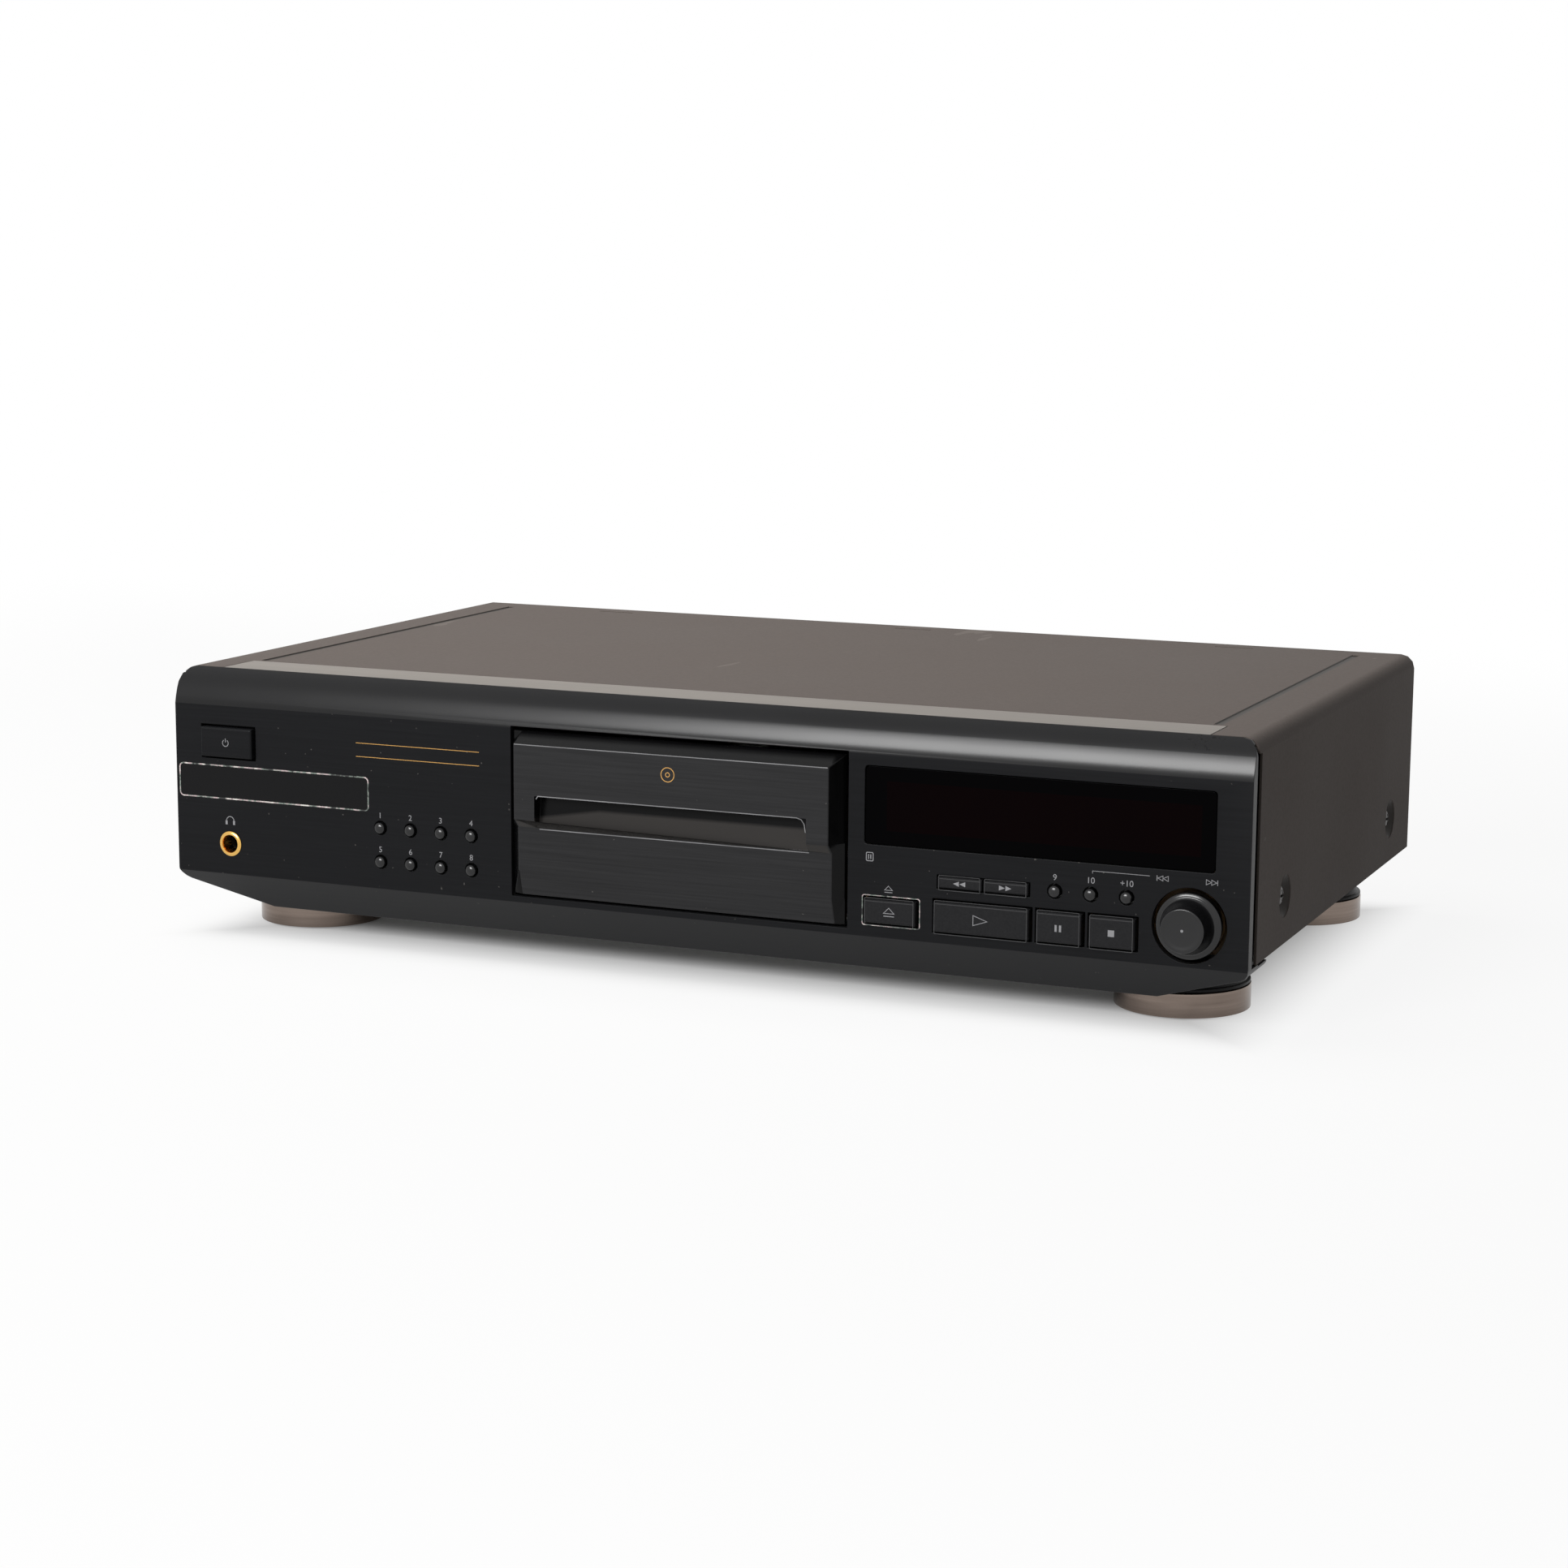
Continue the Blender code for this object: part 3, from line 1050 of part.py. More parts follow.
def make_power(steel, copper, plastic):
    left, right = CORE_LEFT, CORE_LEFT + CORE_WIDTH
    low = CHASSIS_SHEET + SEAM_GAP
    top = low + CORE_HEIGHT
    rear = CORE_FRONT + CORE_THICKNESS
    mesh = bmesh.new()
    box(mesh, left, right, back(CORE_FRONT), back(rear), up(low), up(top))
    item = shown("transformer_core", mesh, steel)
    middle = (left + right) / 2
    windows = bmesh.new()
    for low_x, high_x in ((left + CORE_LIMB, middle - CORE_MID_LIMB / 2),
                          (middle + CORE_MID_LIMB / 2, right - CORE_LIMB)):
        box(windows, low_x, high_x, back(CORE_FRONT - CUT_OVERRUN), back(rear + CUT_OVERRUN),
            up(low + CORE_LIMB), up(top - CORE_LIMB))
    combine(item, windows, "DIFFERENCE")
    gap = SEAM_GAP
    mesh = bmesh.new()
    box(mesh, left + CORE_LIMB + gap, right - CORE_LIMB - gap, back(CORE_FRONT - COIL_OVERHANG),
        back(rear + COIL_OVERHANG), up(low + CORE_LIMB + gap), up(top - CORE_LIMB - gap))
    item = shown("transformer_coil", mesh, copper)
    hole = bmesh.new()
    box(hole, middle - CORE_MID_LIMB / 2 - gap, middle + CORE_MID_LIMB / 2 + gap, back(CORE_FRONT - gap),
        back(rear + gap), up(low), up(top))
    combine(item, hole, "DIFFERENCE")

    x = (POWER_LEFT + POWER_RIGHT) / 2
    z = (POWER_LOW + POWER_TOP) / 2
    front = POWER_ROD_END + POWER_TRAVEL + SEAM_GAP
    mesh = bmesh.new()
    box(mesh, x - SWITCH_BODY_HALF, x + SWITCH_BODY_HALF, back(front), back(front + SWITCH_BODY_LENGTH),
        up(z - SWITCH_BODY_HALF), up(z + SWITCH_BODY_HALF))
    item = shown("power_switch", mesh, plastic)
    leg = bmesh.new()
    box(leg, x - SWITCH_LEG_HALF, x + SWITCH_LEG_HALF, back(front + SWITCH_LEG_HALF),
        back(front + SWITCH_BODY_LENGTH - SWITCH_LEG_HALF), up(low), up(z - SWITCH_BODY_HALF + SWITCH_LEG_HALF))
    combine(item, leg, "UNION")
    guide = bmesh.new()
    half = POWER_ROD / 2
    box(guide, x - SWITCH_LEG_HALF - half, x + SWITCH_LEG_HALF + half, back(POWER_ROD_END - POWER_ROD),
        back(front + SWITCH_BODY_LENGTH / 2), up(z - half - SEAM_GAP - CHASSIS_SHEET), up(z - half - SEAM_GAP))
    combine(item, guide, "UNION")


def make_main_board(finish):
    """Board on four standoffs, with its capacitors, chips and heat sink soldered to it."""
    low = CHASSIS_SHEET + SEAM_GAP
    wide, deep = MAIN_RIGHT - MAIN_LEFT, MAIN_BACK - MAIN_FRONT
    sink = MAIN_HEIGHT + BOARD_THICKNESS / 2
    base = MAIN_HEIGHT + BOARD_THICKNESS
    mesh = bmesh.new()
    box(mesh, MAIN_LEFT, MAIN_RIGHT, back(MAIN_FRONT), back(MAIN_BACK), up(MAIN_HEIGHT), up(base))
    item = shown("main_board", mesh, finish)
    parts = bmesh.new()
    for across in STANDOFF_SHARES:
        for depth in (MAIN_FRONT + STANDOFF_INSET, MAIN_BACK - STANDOFF_INSET):
            rod(parts, "z", (MAIN_LEFT + wide * across, back(depth), 0), STANDOFF_RADIUS, up(low), up(sink))
    for across, along in CAPACITOR_SHARES:
        rod(parts, "z", (MAIN_LEFT + wide * across, back(MAIN_FRONT + deep * along), 0), CAPACITOR_RADIUS,
            up(sink), up(base + CAPACITOR_HEIGHT))
    for across, along in SMALL_CAPACITOR_SHARES:
        rod(parts, "z", (MAIN_LEFT + wide * across, back(MAIN_FRONT + deep * along), 0),
            SMALL_CAPACITOR_RADIUS,
            up(sink), up(base + SMALL_CAPACITOR_HEIGHT), COARSE // 2)
    for across, along in CHIP_SHARES:
        x, depth = MAIN_LEFT + wide * across, MAIN_FRONT + deep * along
        box(parts, x - CHIP_SIZE / 2, x + CHIP_SIZE / 2, back(depth - CHIP_SIZE / 2),
            back(depth + CHIP_SIZE / 2),
            up(sink), up(base + CHIP_HEIGHT))
    x, depth = MAIN_LEFT + wide * SINK_SHARES[0], MAIN_FRONT + deep * SINK_SHARES[1]
    box(parts, x - SINK_LENGTH / 2, x + SINK_LENGTH / 2, back(depth), back(depth + SINK_THICKNESS),
        up(sink), up(base + SINK_HEIGHT))
    combine(item, parts, "UNION")


def gear_outline(teeth, centre, offset):
    """Straight-sided teeth; offset 0 puts a tooth on +X, 0.5 puts a gap there."""
    pitch = GEAR_MODULE * teeth / 2
    tip = pitch + GEAR_MODULE * TOOTH_TIP_SHARE
    root = pitch - GEAR_MODULE * TOOTH_ROOT_SHARE
    points = []
    for tooth in range(teeth):
        for radius, share in ((root, -TOOTH_FOOT_SHARE), (tip, -TOOTH_TOP_SHARE), (tip, TOOTH_TOP_SHARE),
                              (root, TOOTH_FOOT_SHARE)):
            angle = math.tau * (tooth + offset + share / 2) / teeth
            points.append((centre[0] + radius * math.cos(angle), centre[1] + radius * math.sin(angle)))
    return points


def rack_outline(root_x, far_x, centre_y, low_y, high_y):
    """A straight rack whose teeth point along +X, with one tooth level with the gear's centre."""
    pitch = math.pi * GEAR_MODULE
    tip_x = root_x + GEAR_MODULE * (TOOTH_TIP_SHARE + TOOTH_ROOT_SHARE)
    first = math.ceil((low_y - centre_y) / pitch + TOOTH_FOOT_SHARE)
    last = math.floor((high_y - centre_y) / pitch - TOOTH_FOOT_SHARE)
    points = [(far_x, high_y), (far_x, low_y), (root_x, low_y)]
    for tooth in range(first, last + 1):
        middle = centre_y + tooth * pitch
        for x, share in ((root_x, -TOOTH_FOOT_SHARE), (tip_x, -TOOTH_TOP_SHARE), (tip_x, TOOTH_TOP_SHARE),
                         (root_x, TOOTH_FOOT_SHARE)):
            points.append((x, middle + share * pitch / 2))
    points.append((root_x, high_y))
    return points


def make_loader_frame(finish):
    half, inner = FRAME_HALF, FRAME_HALF - FRAME_WALL
    ledge = inner - LEDGE_WIDTH
    shelf = TRAY_LOW - SEAM_GAP
    roof = TRAY_TOP + SEAM_GAP
    floor_top = FRAME_FLOOR + FRAME_FLOOR_THICKNESS
    right = [(half, FRAME_FLOOR), (half, FRAME_TOP), (ledge, FRAME_TOP), (ledge, roof), (inner, roof),
             (inner, shelf), (ledge, shelf), (ledge, shelf - LEDGE_THICKNESS),
             (inner, shelf - LEDGE_THICKNESS),
             (inner, floor_top)]
    left = [(-x, z) for x, z in reversed(right)]
    mesh = bmesh.new()
    prism(mesh, [(x, up(z)) for x, z in right + left], "y", back(FRAME_FRONT), back(FRAME_BACK))
    item = shown("loader_frame", mesh, finish)
    parts = bmesh.new()
    sink = FRAME_FLOOR + FRAME_FLOOR_THICKNESS / 2
    for x in (-half + FRAME_POST_INSET, half - FRAME_POST_INSET):
        for depth in (FRAME_FRONT + FRAME_POST_INSET, FRAME_BACK - FRAME_POST_INSET):
            rod(parts, "z", (x, back(depth), 0), FRAME_POST_RADIUS, up(CHASSIS_SHEET + SEAM_GAP), up(sink))
    gear_low = shelf - LEDGE_THICKNESS
    axle = [(0, sink), (AXLE_SHOULDER_RADIUS, sink), (AXLE_SHOULDER_RADIUS, gear_low - SEAM_GAP),
            (AXLE_RADIUS, gear_low - SEAM_GAP), (AXLE_RADIUS, shelf), (0, shelf)]
    turned(parts, [(radius, up(z)) for radius, z in axle], "z", (DRIVE_X, back(GEAR_DEPTH), 0), COARSE)
    axle = [(0, sink), (AXLE_SHOULDER_RADIUS, sink), (AXLE_SHOULDER_RADIUS, WHEEL_LIFT - SEAM_GAP),
            (AXLE_RADIUS, WHEEL_LIFT - SEAM_GAP), (AXLE_RADIUS, shelf), (0, shelf)]
    turned(parts, [(radius, up(z)) for radius, z in axle], "z", (PULLEY_X, back(GEAR_DEPTH), 0), COARSE)
    for sign in (-1, 1):
        ear = sorted((sign * BASE_EAR_INNER, sign * BASE_EAR_OUTER))
        box(parts, *ear, back(BASE_PIVOT_DEPTH - BASE_EAR_HALF_DEPTH),
            back(BASE_PIVOT_DEPTH + BASE_EAR_HALF_DEPTH),
            up(sink), up(BASE_PIVOT_HEIGHT + BASE_EAR_HALF_DEPTH))
    combine(item, parts, "UNION")
    notches = bmesh.new()
    slot = BASE_PIVOT_RADIUS + SEAM_GAP
    rod(notches, "x", (0, back(BASE_PIVOT_DEPTH), up(BASE_PIVOT_HEIGHT)), slot,
        -BASE_EAR_OUTER - CUT_OVERRUN, BASE_EAR_OUTER + CUT_OVERRUN, ROUND)
    combine(item, notches, "DIFFERENCE")


def make_loading_drive(white, steel, rubber):
    y = back(GEAR_DEPTH)
    gear_low = TRAY_LOW - SEAM_GAP - LEDGE_THICKNESS
    bore = AXLE_RADIUS + SEAM_GAP

    mesh = bmesh.new()
    prism(mesh, gear_outline(DRIVE_TEETH, (DRIVE_X, y), HALF_TOOTH_SHARE), "z", up(gear_low),
          up(gear_low + GEAR_THICKNESS))
    item = shown("drive_gear", mesh, white, (DRIVE_X, y, up(gear_low)))
    hole = bmesh.new()
    rod(hole, "z", (DRIVE_X, y, 0), bore, up(gear_low - CUT_OVERRUN),
        up(gear_low + GEAR_THICKNESS + CUT_OVERRUN))
    combine(item, hole, "DIFFERENCE")

    mesh = bmesh.new()
    rim = WHEEL_RADIUS + PULLEY_RIM
    wheel_top = WHEEL_LIFT + WHEEL_THICKNESS
    waist_low, waist_high = WHEEL_LIFT + PULLEY_RIM, wheel_top - PULLEY_RIM
    profile = [(0, WHEEL_LIFT), (rim, WHEEL_LIFT), (WHEEL_RADIUS, waist_low), (WHEEL_RADIUS, waist_high),
               (rim, wheel_top), (0, wheel_top)]
    turned(mesh, [(radius, up(z)) for radius, z in profile], "z", (PULLEY_X, y, 0), ROUND)
    item = shown("pulley_gear", mesh, white, (PULLEY_X, y, up(WHEEL_LIFT)))
    pinion = bmesh.new()
    prism(pinion, gear_outline(PINION_TEETH, (PULLEY_X, y), 0), "z",
          up(wheel_top - PULLEY_RIM / 2), up(gear_low + GEAR_THICKNESS))
    combine(item, pinion, "UNION")
    hole = bmesh.new()
    rod(hole, "z", (PULLEY_X, y, 0), bore, up(WHEEL_LIFT - CUT_OVERRUN),
        up(gear_low + GEAR_THICKNESS + CUT_OVERRUN))
    combine(item, hole, "DIFFERENCE")

    small_rim = MOTOR_PULLEY_RADIUS + PULLEY_RIM
    profile = [(MOTOR_SHAFT_RADIUS + SEAM_GAP, WHEEL_LIFT), (small_rim, WHEEL_LIFT),
               (MOTOR_PULLEY_RADIUS, waist_low), (MOTOR_PULLEY_RADIUS, waist_high), (small_rim, wheel_top),
               (MOTOR_SHAFT_RADIUS + SEAM_GAP, wheel_top)]
    mesh = bmesh.new()
    turned(mesh, [(radius, up(z)) for radius, z in profile], "z", (MOTOR_PULLEY_X, y, 0), ROUND, True)
    shown("motor_pulley", mesh, white, (MOTOR_PULLEY_X, y, up(WHEEL_LIFT)))

    low = FRAME_FLOOR + FRAME_FLOOR_THICKNESS + SEAM_GAP
    profile = [(0, low), (MOTOR_RADIUS, low), (MOTOR_RADIUS, WHEEL_LIFT - BELT_SIZE),
               (MOTOR_SHAFT_RADIUS, WHEEL_LIFT - BELT_SIZE), (MOTOR_SHAFT_RADIUS, wheel_top), (0, wheel_top)]
    mesh = bmesh.new()
    turned(mesh, [(radius, up(z)) for radius, z in profile], "z", (MOTOR_PULLEY_X, y, 0), ROUND)
    shown("loading_motor", mesh, steel)

    distance = MOTOR_PULLEY_X - PULLEY_X
    tilt = math.acos((WHEEL_RADIUS - MOTOR_PULLEY_RADIUS) / distance)

    def loop(extra):
        points = []
        for step in range(ROUND + 1):
            angle = tilt + (math.tau - 2 * tilt) * step / ROUND
            radius = WHEEL_RADIUS + extra
            points.append((PULLEY_X + radius * math.cos(angle), y + radius * math.sin(angle)))
        for step in range(COARSE + 1):
            angle = -tilt + 2 * tilt * step / COARSE
            radius = MOTOR_PULLEY_RADIUS + extra
            points.append((MOTOR_PULLEY_X + radius * math.cos(angle), y + radius * math.sin(angle)))
        return points

    mesh = bmesh.new()
    middle = (waist_low + waist_high) / 2
    outer, inner = loop(SEAM_GAP + BELT_SIZE), loop(SEAM_GAP)
    rings = []
    half = (waist_high - waist_low) / 2 - HOLLOW_STEP
    for outline, z in ((outer, middle - half), (outer, middle + half), (inner, middle + half),
                       (inner, middle - half)):
        rings.append([mesh.verts.new((px, py, up(z))) for px, py in outline])
    faces = []
    for one, other in zip(rings, rings[1:] + rings[:1]):
        for index in range(len(one)):
            follow = (index + 1) % len(one)
            faces.append(mesh.faces.new((one[index], one[follow], other[follow], other[index])))
    bmesh.ops.recalc_face_normals(mesh, faces=faces)
    shown("loading_belt", mesh, rubber)


def make_disc_tray(finish):
    front = DOOR_BACK + SEAM_GAP
    mesh = bmesh.new()
    slot = [(-TRAY_HALF, back(front)), (TRAY_HALF, back(front)), (TRAY_HALF, back(TRAY_BACK)),
            (SLOT_HALF, back(TRAY_BACK)), (SLOT_HALF, back(SLOT_FRONT)), (-SLOT_HALF, back(SLOT_FRONT)),
            (-SLOT_HALF, back(TRAY_BACK)), (-TRAY_HALF, back(TRAY_BACK))]
    prism(mesh, slot, "z", up(TRAY_LOW), up(TRAY_TOP))
    item = shown("disc_tray", mesh, finish)
    extras = bmesh.new()
    sink = TRAY_LOW + HOLLOW_STEP
    box(extras, -DOOR_HALF + PANEL_WALL, DOOR_HALF - PANEL_WALL, back(front), back(front + TRAY_FRONT_WALL),
        up(TRAY_LOW - TRAY_FRONT_DROP), up(sink))
    rack = rack_outline(-RACK_EDGE + RACK_WIDTH, -RACK_EDGE, back(GEAR_DEPTH),
                        back(front + TRAY_FRONT_WALL / 2),
                        back(TRAY_BACK))
    prism(extras, rack, "z", up(TRAY_LOW - LEDGE_THICKNESS), up(sink))
    combine(item, extras, "UNION")
    pockets = bmesh.new()
    centre = (0, back(DISC_DEPTH), 0)
    steps = [(0, TRAY_TOP - SMALL_DISC_POCKET), (SMALL_DISC_RADIUS, TRAY_TOP - SMALL_DISC_POCKET),
             (SMALL_DISC_RADIUS, TRAY_TOP - DISC_POCKET), (DISC_RADIUS, TRAY_TOP - DISC_POCKET),
             (DISC_RADIUS, TRAY_TOP + CUT_OVERRUN), (0, TRAY_TOP + CUT_OVERRUN)]
    turned(pockets, [(radius, up(z)) for radius, z in steps], "z", centre, DISH)
    combine(item, pockets, "DIFFERENCE")


def make_base_unit(metal, steel, black):
    pivot = (0, back(BASE_PIVOT_DEPTH), up(BASE_PIVOT_HEIGHT))
    top = BASE_LOW + BASE_THICKNESS
    rear = BASE_PIVOT_DEPTH + BASE_BAR / 2
    mesh = bmesh.new()
    box(mesh, -BASE_HALF, BASE_HALF, back(BASE_FRONT), back(rear), up(BASE_LOW), up(top))
    item = shown("base_frame", mesh, metal, pivot)
    hole = bmesh.new()
    box(hole, -BASE_HALF + BASE_BAR, BASE_HALF - BASE_BAR, back(PICKUP_BACK),
        back(BASE_PIVOT_DEPTH - BASE_BAR),
        up(BASE_LOW - CUT_OVERRUN), up(top + CUT_OVERRUN))
    combine(item, hole, "DIFFERENCE")
    extras = bmesh.new()
    rod(extras, "x", pivot, BASE_PIVOT_RADIUS, -BASE_PIVOT_HALF, BASE_PIVOT_HALF)
    for sign in (-1, 1):
        x = sign * ROD_SPREAD
        for depth in (BASE_FRONT, ROD_BACK):
            box(extras, x - ROD_BLOCK_HALF, x + ROD_BLOCK_HALF, back(depth), back(depth + ROD_BLOCK_DEPTH),
                up(BASE_LOW + BASE_THICKNESS / 2), up(ROD_BLOCK_TOP))
    shelf_half = CARRIAGE_MOTOR_RADIUS + BASE_BAR / 3
    box(extras, CARRIAGE_PINION_X - shelf_half, BASE_HALF - BASE_BAR / 2,
        back(CARRIAGE_PINION_DEPTH - shelf_half),
        back(CARRIAGE_PINION_DEPTH + shelf_half), up(BASE_LOW + HOLLOW_STEP), up(top - HOLLOW_STEP))
    combine(item, extras, "UNION")

    for side, sign in (("left", -1), ("right", 1)):
        mesh = bmesh.new()
        rod(mesh, "y", (sign * ROD_SPREAD, 0, up(ROD_LIFT)), ROD_RADIUS,
            back(BASE_FRONT + ROD_BLOCK_DEPTH + SEAM_GAP), back(ROD_BACK - SEAM_GAP))
        shown("guide_rod_" + side, mesh, steel)

    mesh = bmesh.new()
    box(mesh, -PICKUP_HALF, PICKUP_HALF, back(PICKUP_FRONT), back(PICKUP_BACK), up(top + SEAM_GAP),
        up(PICKUP_TOP))
    item = shown("laser_pickup", mesh, black)
    eye = bmesh.new()
    middle = back((PICKUP_FRONT + PICKUP_BACK) / 2)
    profile = [(0, PICKUP_TOP - LENS_RISE), (LENS_RADIUS, PICKUP_TOP - LENS_RISE),
               (LENS_RADIUS, PICKUP_TOP + LENS_RISE / 2),
               (LENS_RADIUS / 2, PICKUP_TOP + LENS_RISE), (0, PICKUP_TOP + LENS_RISE)]
    turned(eye, [(radius, up(z)) for radius, z in profile], "z", (0, middle, 0), COARSE)
    combine(item, eye, "UNION")

    y = back(CARRIAGE_PINION_DEPTH)
    gear_low = CARRIAGE_LOW
    mesh = bmesh.new()
    profile = [(0, top + SEAM_GAP), (CARRIAGE_MOTOR_RADIUS, top + SEAM_GAP),
               (CARRIAGE_MOTOR_RADIUS, gear_low - GEAR_MODULE), (MOTOR_SHAFT_RADIUS, gear_low - GEAR_MODULE),
               (MOTOR_SHAFT_RADIUS, gear_low + GEAR_THICKNESS), (0, gear_low + GEAR_THICKNESS)]
    turned(mesh, [(radius, up(z)) for radius, z in profile], "z", (CARRIAGE_PINION_X, y, 0), COARSE)
    shown("carriage_motor", mesh, steel)


def make_carriage(black, white, steel):
    top = CARRIAGE_LOW + CARRIAGE_THICKNESS
    pivot_height = ARM_LOW + ARM_THICKNESS / 2
    pivot_depth = CARRIAGE_BACK - POST_DEPTH / 2
    mesh = bmesh.new()
    box(mesh, -CARRIAGE_HALF, CARRIAGE_HALF, back(CARRIAGE_FRONT), back(CARRIAGE_BACK), up(CARRIAGE_LOW),
        up(top))
    item = shown("spindle_carriage", mesh, black)
    extras = bmesh.new()
    sink = CARRIAGE_LOW + CARRIAGE_THICKNESS / 2
    for sign in (-1, 1):
        x = sign * ROD_SPREAD
        box(extras, x - ROD_BLOCK_HALF, x + ROD_BLOCK_HALF, back(CARRIAGE_FRONT + HOLLOW_STEP),
            back(CARRIAGE_FRONT + RUNNER_LENGTH), up(RUNNER_LOW), up(sink))
    rack_root = CARRIAGE_RACK_X - GEAR_MODULE * TOOTH_ROOT_SHARE
    rack = rack_outline(rack_root, rack_root - 2 * RACK_WIDTH, back(CARRIAGE_PINION_DEPTH),
                        back(CARRIAGE_RACK_FRONT),
                        back(CARRIAGE_RACK_BACK))
    prism(extras, rack, "z", up(CARRIAGE_LOW + HOLLOW_STEP), up(top - HOLLOW_STEP))
    tie = back(CARRIAGE_FRONT + RUNNER_LENGTH / 2)
    box(extras, CARRIAGE_HALF - RACK_WIDTH, rack_root - RACK_WIDTH, tie - RACK_WIDTH * 2,
        back(CARRIAGE_RACK_BACK) - RACK_WIDTH,
        up(CARRIAGE_LOW + 2 * HOLLOW_STEP), up(top - 2 * HOLLOW_STEP))
    box(extras, -POST_HALF, POST_HALF, back(CARRIAGE_BACK - POST_DEPTH), back(CARRIAGE_BACK - HOLLOW_STEP),
        up(sink), up(POST_TOP))
    combine(item, extras, "UNION")
    cuts = bmesh.new()
    for sign in (-1, 1):
        rod(cuts, "y", (sign * ROD_SPREAD, 0, up(ROD_LIFT)), ROD_RADIUS + SEAM_GAP,
            back(CARRIAGE_FRONT - CUT_OVERRUN), back(CARRIAGE_FRONT + RUNNER_LENGTH + CUT_OVERRUN))
    box(cuts, -ARM_HALF - ARM_CLEARANCE, ARM_HALF + ARM_CLEARANCE,
        back(CARRIAGE_BACK - POST_DEPTH - CUT_OVERRUN),
        back(CARRIAGE_BACK + CUT_OVERRUN), up(ARM_SLOT_LOW), up(POST_TOP + CUT_OVERRUN))
    combine(item, cuts, "DIFFERENCE")
    bores = bmesh.new()
    rod(bores, "x", (0, back(pivot_depth), up(pivot_height)), ARM_PIVOT_RADIUS + SEAM_GAP,
        -POST_HALF - CUT_OVERRUN, POST_HALF + CUT_OVERRUN)
    rod(bores, "z", (0, back(DISC_DEPTH), 0), SPINDLE_RADIUS + SEAM_GAP, up(CARRIAGE_LOW - CUT_OVERRUN),
        up(top + CUT_OVERRUN))
    combine(item, bores, "DIFFERENCE")

    mesh = bmesh.new()
    motor_low = CARRIAGE_LOW - SEAM_GAP - SPINDLE_MOTOR_HEIGHT
    profile = [(0, motor_low), (SPINDLE_MOTOR_RADIUS, motor_low),
               (SPINDLE_MOTOR_RADIUS, CARRIAGE_LOW - SEAM_GAP),
               (SPINDLE_RADIUS, CARRIAGE_LOW - SEAM_GAP), (SPINDLE_RADIUS, top + CARRIAGE_THICKNESS),
               (0, top + CARRIAGE_THICKNESS)]
    turned(mesh, [(radius, up(z)) for radius, z in profile], "z", (0, back(DISC_DEPTH), 0), ROUND)
    shown("spindle_motor", mesh, steel)

    seat_low = TURNTABLE_SEAT - TURNTABLE_THICKNESS
    hub_low = top + SEAM_GAP
    bore = SPINDLE_RADIUS + SEAM_GAP
    roof = top + CARRIAGE_THICKNESS + SEAM_GAP
    profile = [(bore, hub_low), (CONE_RADIUS, hub_low), (CONE_RADIUS, seat_low), (TURNTABLE_RADIUS, seat_low),
               (TURNTABLE_RADIUS, TURNTABLE_SEAT), (CONE_RADIUS, TURNTABLE_SEAT),
               (CONE_RADIUS * CONE_TOP_SHARE, TURNTABLE_SEAT + CONE_HEIGHT),
               (0, TURNTABLE_SEAT + CONE_HEIGHT)]
    profile = [(0, roof), (bore, roof)] + profile
    centre = (0, back(DISC_DEPTH), 0)
    mesh = bmesh.new()
    turned(mesh, [(radius, up(z)) for radius, z in profile], "z", centre, ROUND)
    shown("turntable", mesh, black, (0, back(DISC_DEPTH), up(TURNTABLE_SEAT)))

    pivot = (0, back(pivot_depth), up(pivot_height))
    mesh = bmesh.new()
    arm_front = rounded([(-ARM_HALF, back(ARM_FRONT)), (ARM_HALF, back(ARM_FRONT)),
                         (ARM_HALF, back(CARRIAGE_BACK - HOLLOW_STEP)),
                         (-ARM_HALF, back(CARRIAGE_BACK - HOLLOW_STEP))],
                        [ARM_HALF / 2, ARM_HALF / 2, 0, 0])
    prism(mesh, arm_front, "z", up(ARM_LOW), up(ARM_LOW + ARM_THICKNESS))
    item = shown("clamp_arm", mesh, steel, pivot)
    pin = bmesh.new()
    rod(pin, "x", pivot, ARM_PIVOT_RADIUS - HOLLOW_STEP, -POST_HALF, POST_HALF)
    combine(item, pin, "UNION")
    bore = bmesh.new()
    rod(bore, "z", centre, PUCK_STEM_RADIUS + SEAM_GAP, up(ARM_LOW - CUT_OVERRUN),
        up(ARM_LOW + ARM_THICKNESS + CUT_OVERRUN))
    combine(item, bore, "DIFFERENCE")

    clamp = TURNTABLE_SEAT + DISC_THICKNESS + SEAM_GAP
    ceiling = TURNTABLE_SEAT + CONE_HEIGHT + DISC_THICKNESS
    arm_top = ARM_LOW + ARM_THICKNESS
    profile = [(0, ceiling), (CONE_RADIUS + SEAM_GAP, ceiling), (CONE_RADIUS + SEAM_GAP, clamp),
               (PUCK_RADIUS, clamp),
               (PUCK_RADIUS, ARM_LOW - 2 * SEAM_GAP), (PUCK_STEM_RADIUS, ARM_LOW - SEAM_GAP),
               (PUCK_STEM_RADIUS, arm_top + SEAM_GAP), (PUCK_HEAD_RADIUS, arm_top + SEAM_GAP),
               (PUCK_HEAD_RADIUS, arm_top + SEAM_GAP + PUCK_HEAD_THICKNESS),
               (0, arm_top + SEAM_GAP + PUCK_HEAD_THICKNESS)]
    mesh = bmesh.new()
    turned(mesh, [(radius, up(z)) for radius, z in profile], "z", centre, ROUND)
    shown("clamp_puck", mesh, white, (0, back(DISC_DEPTH), up(clamp)))

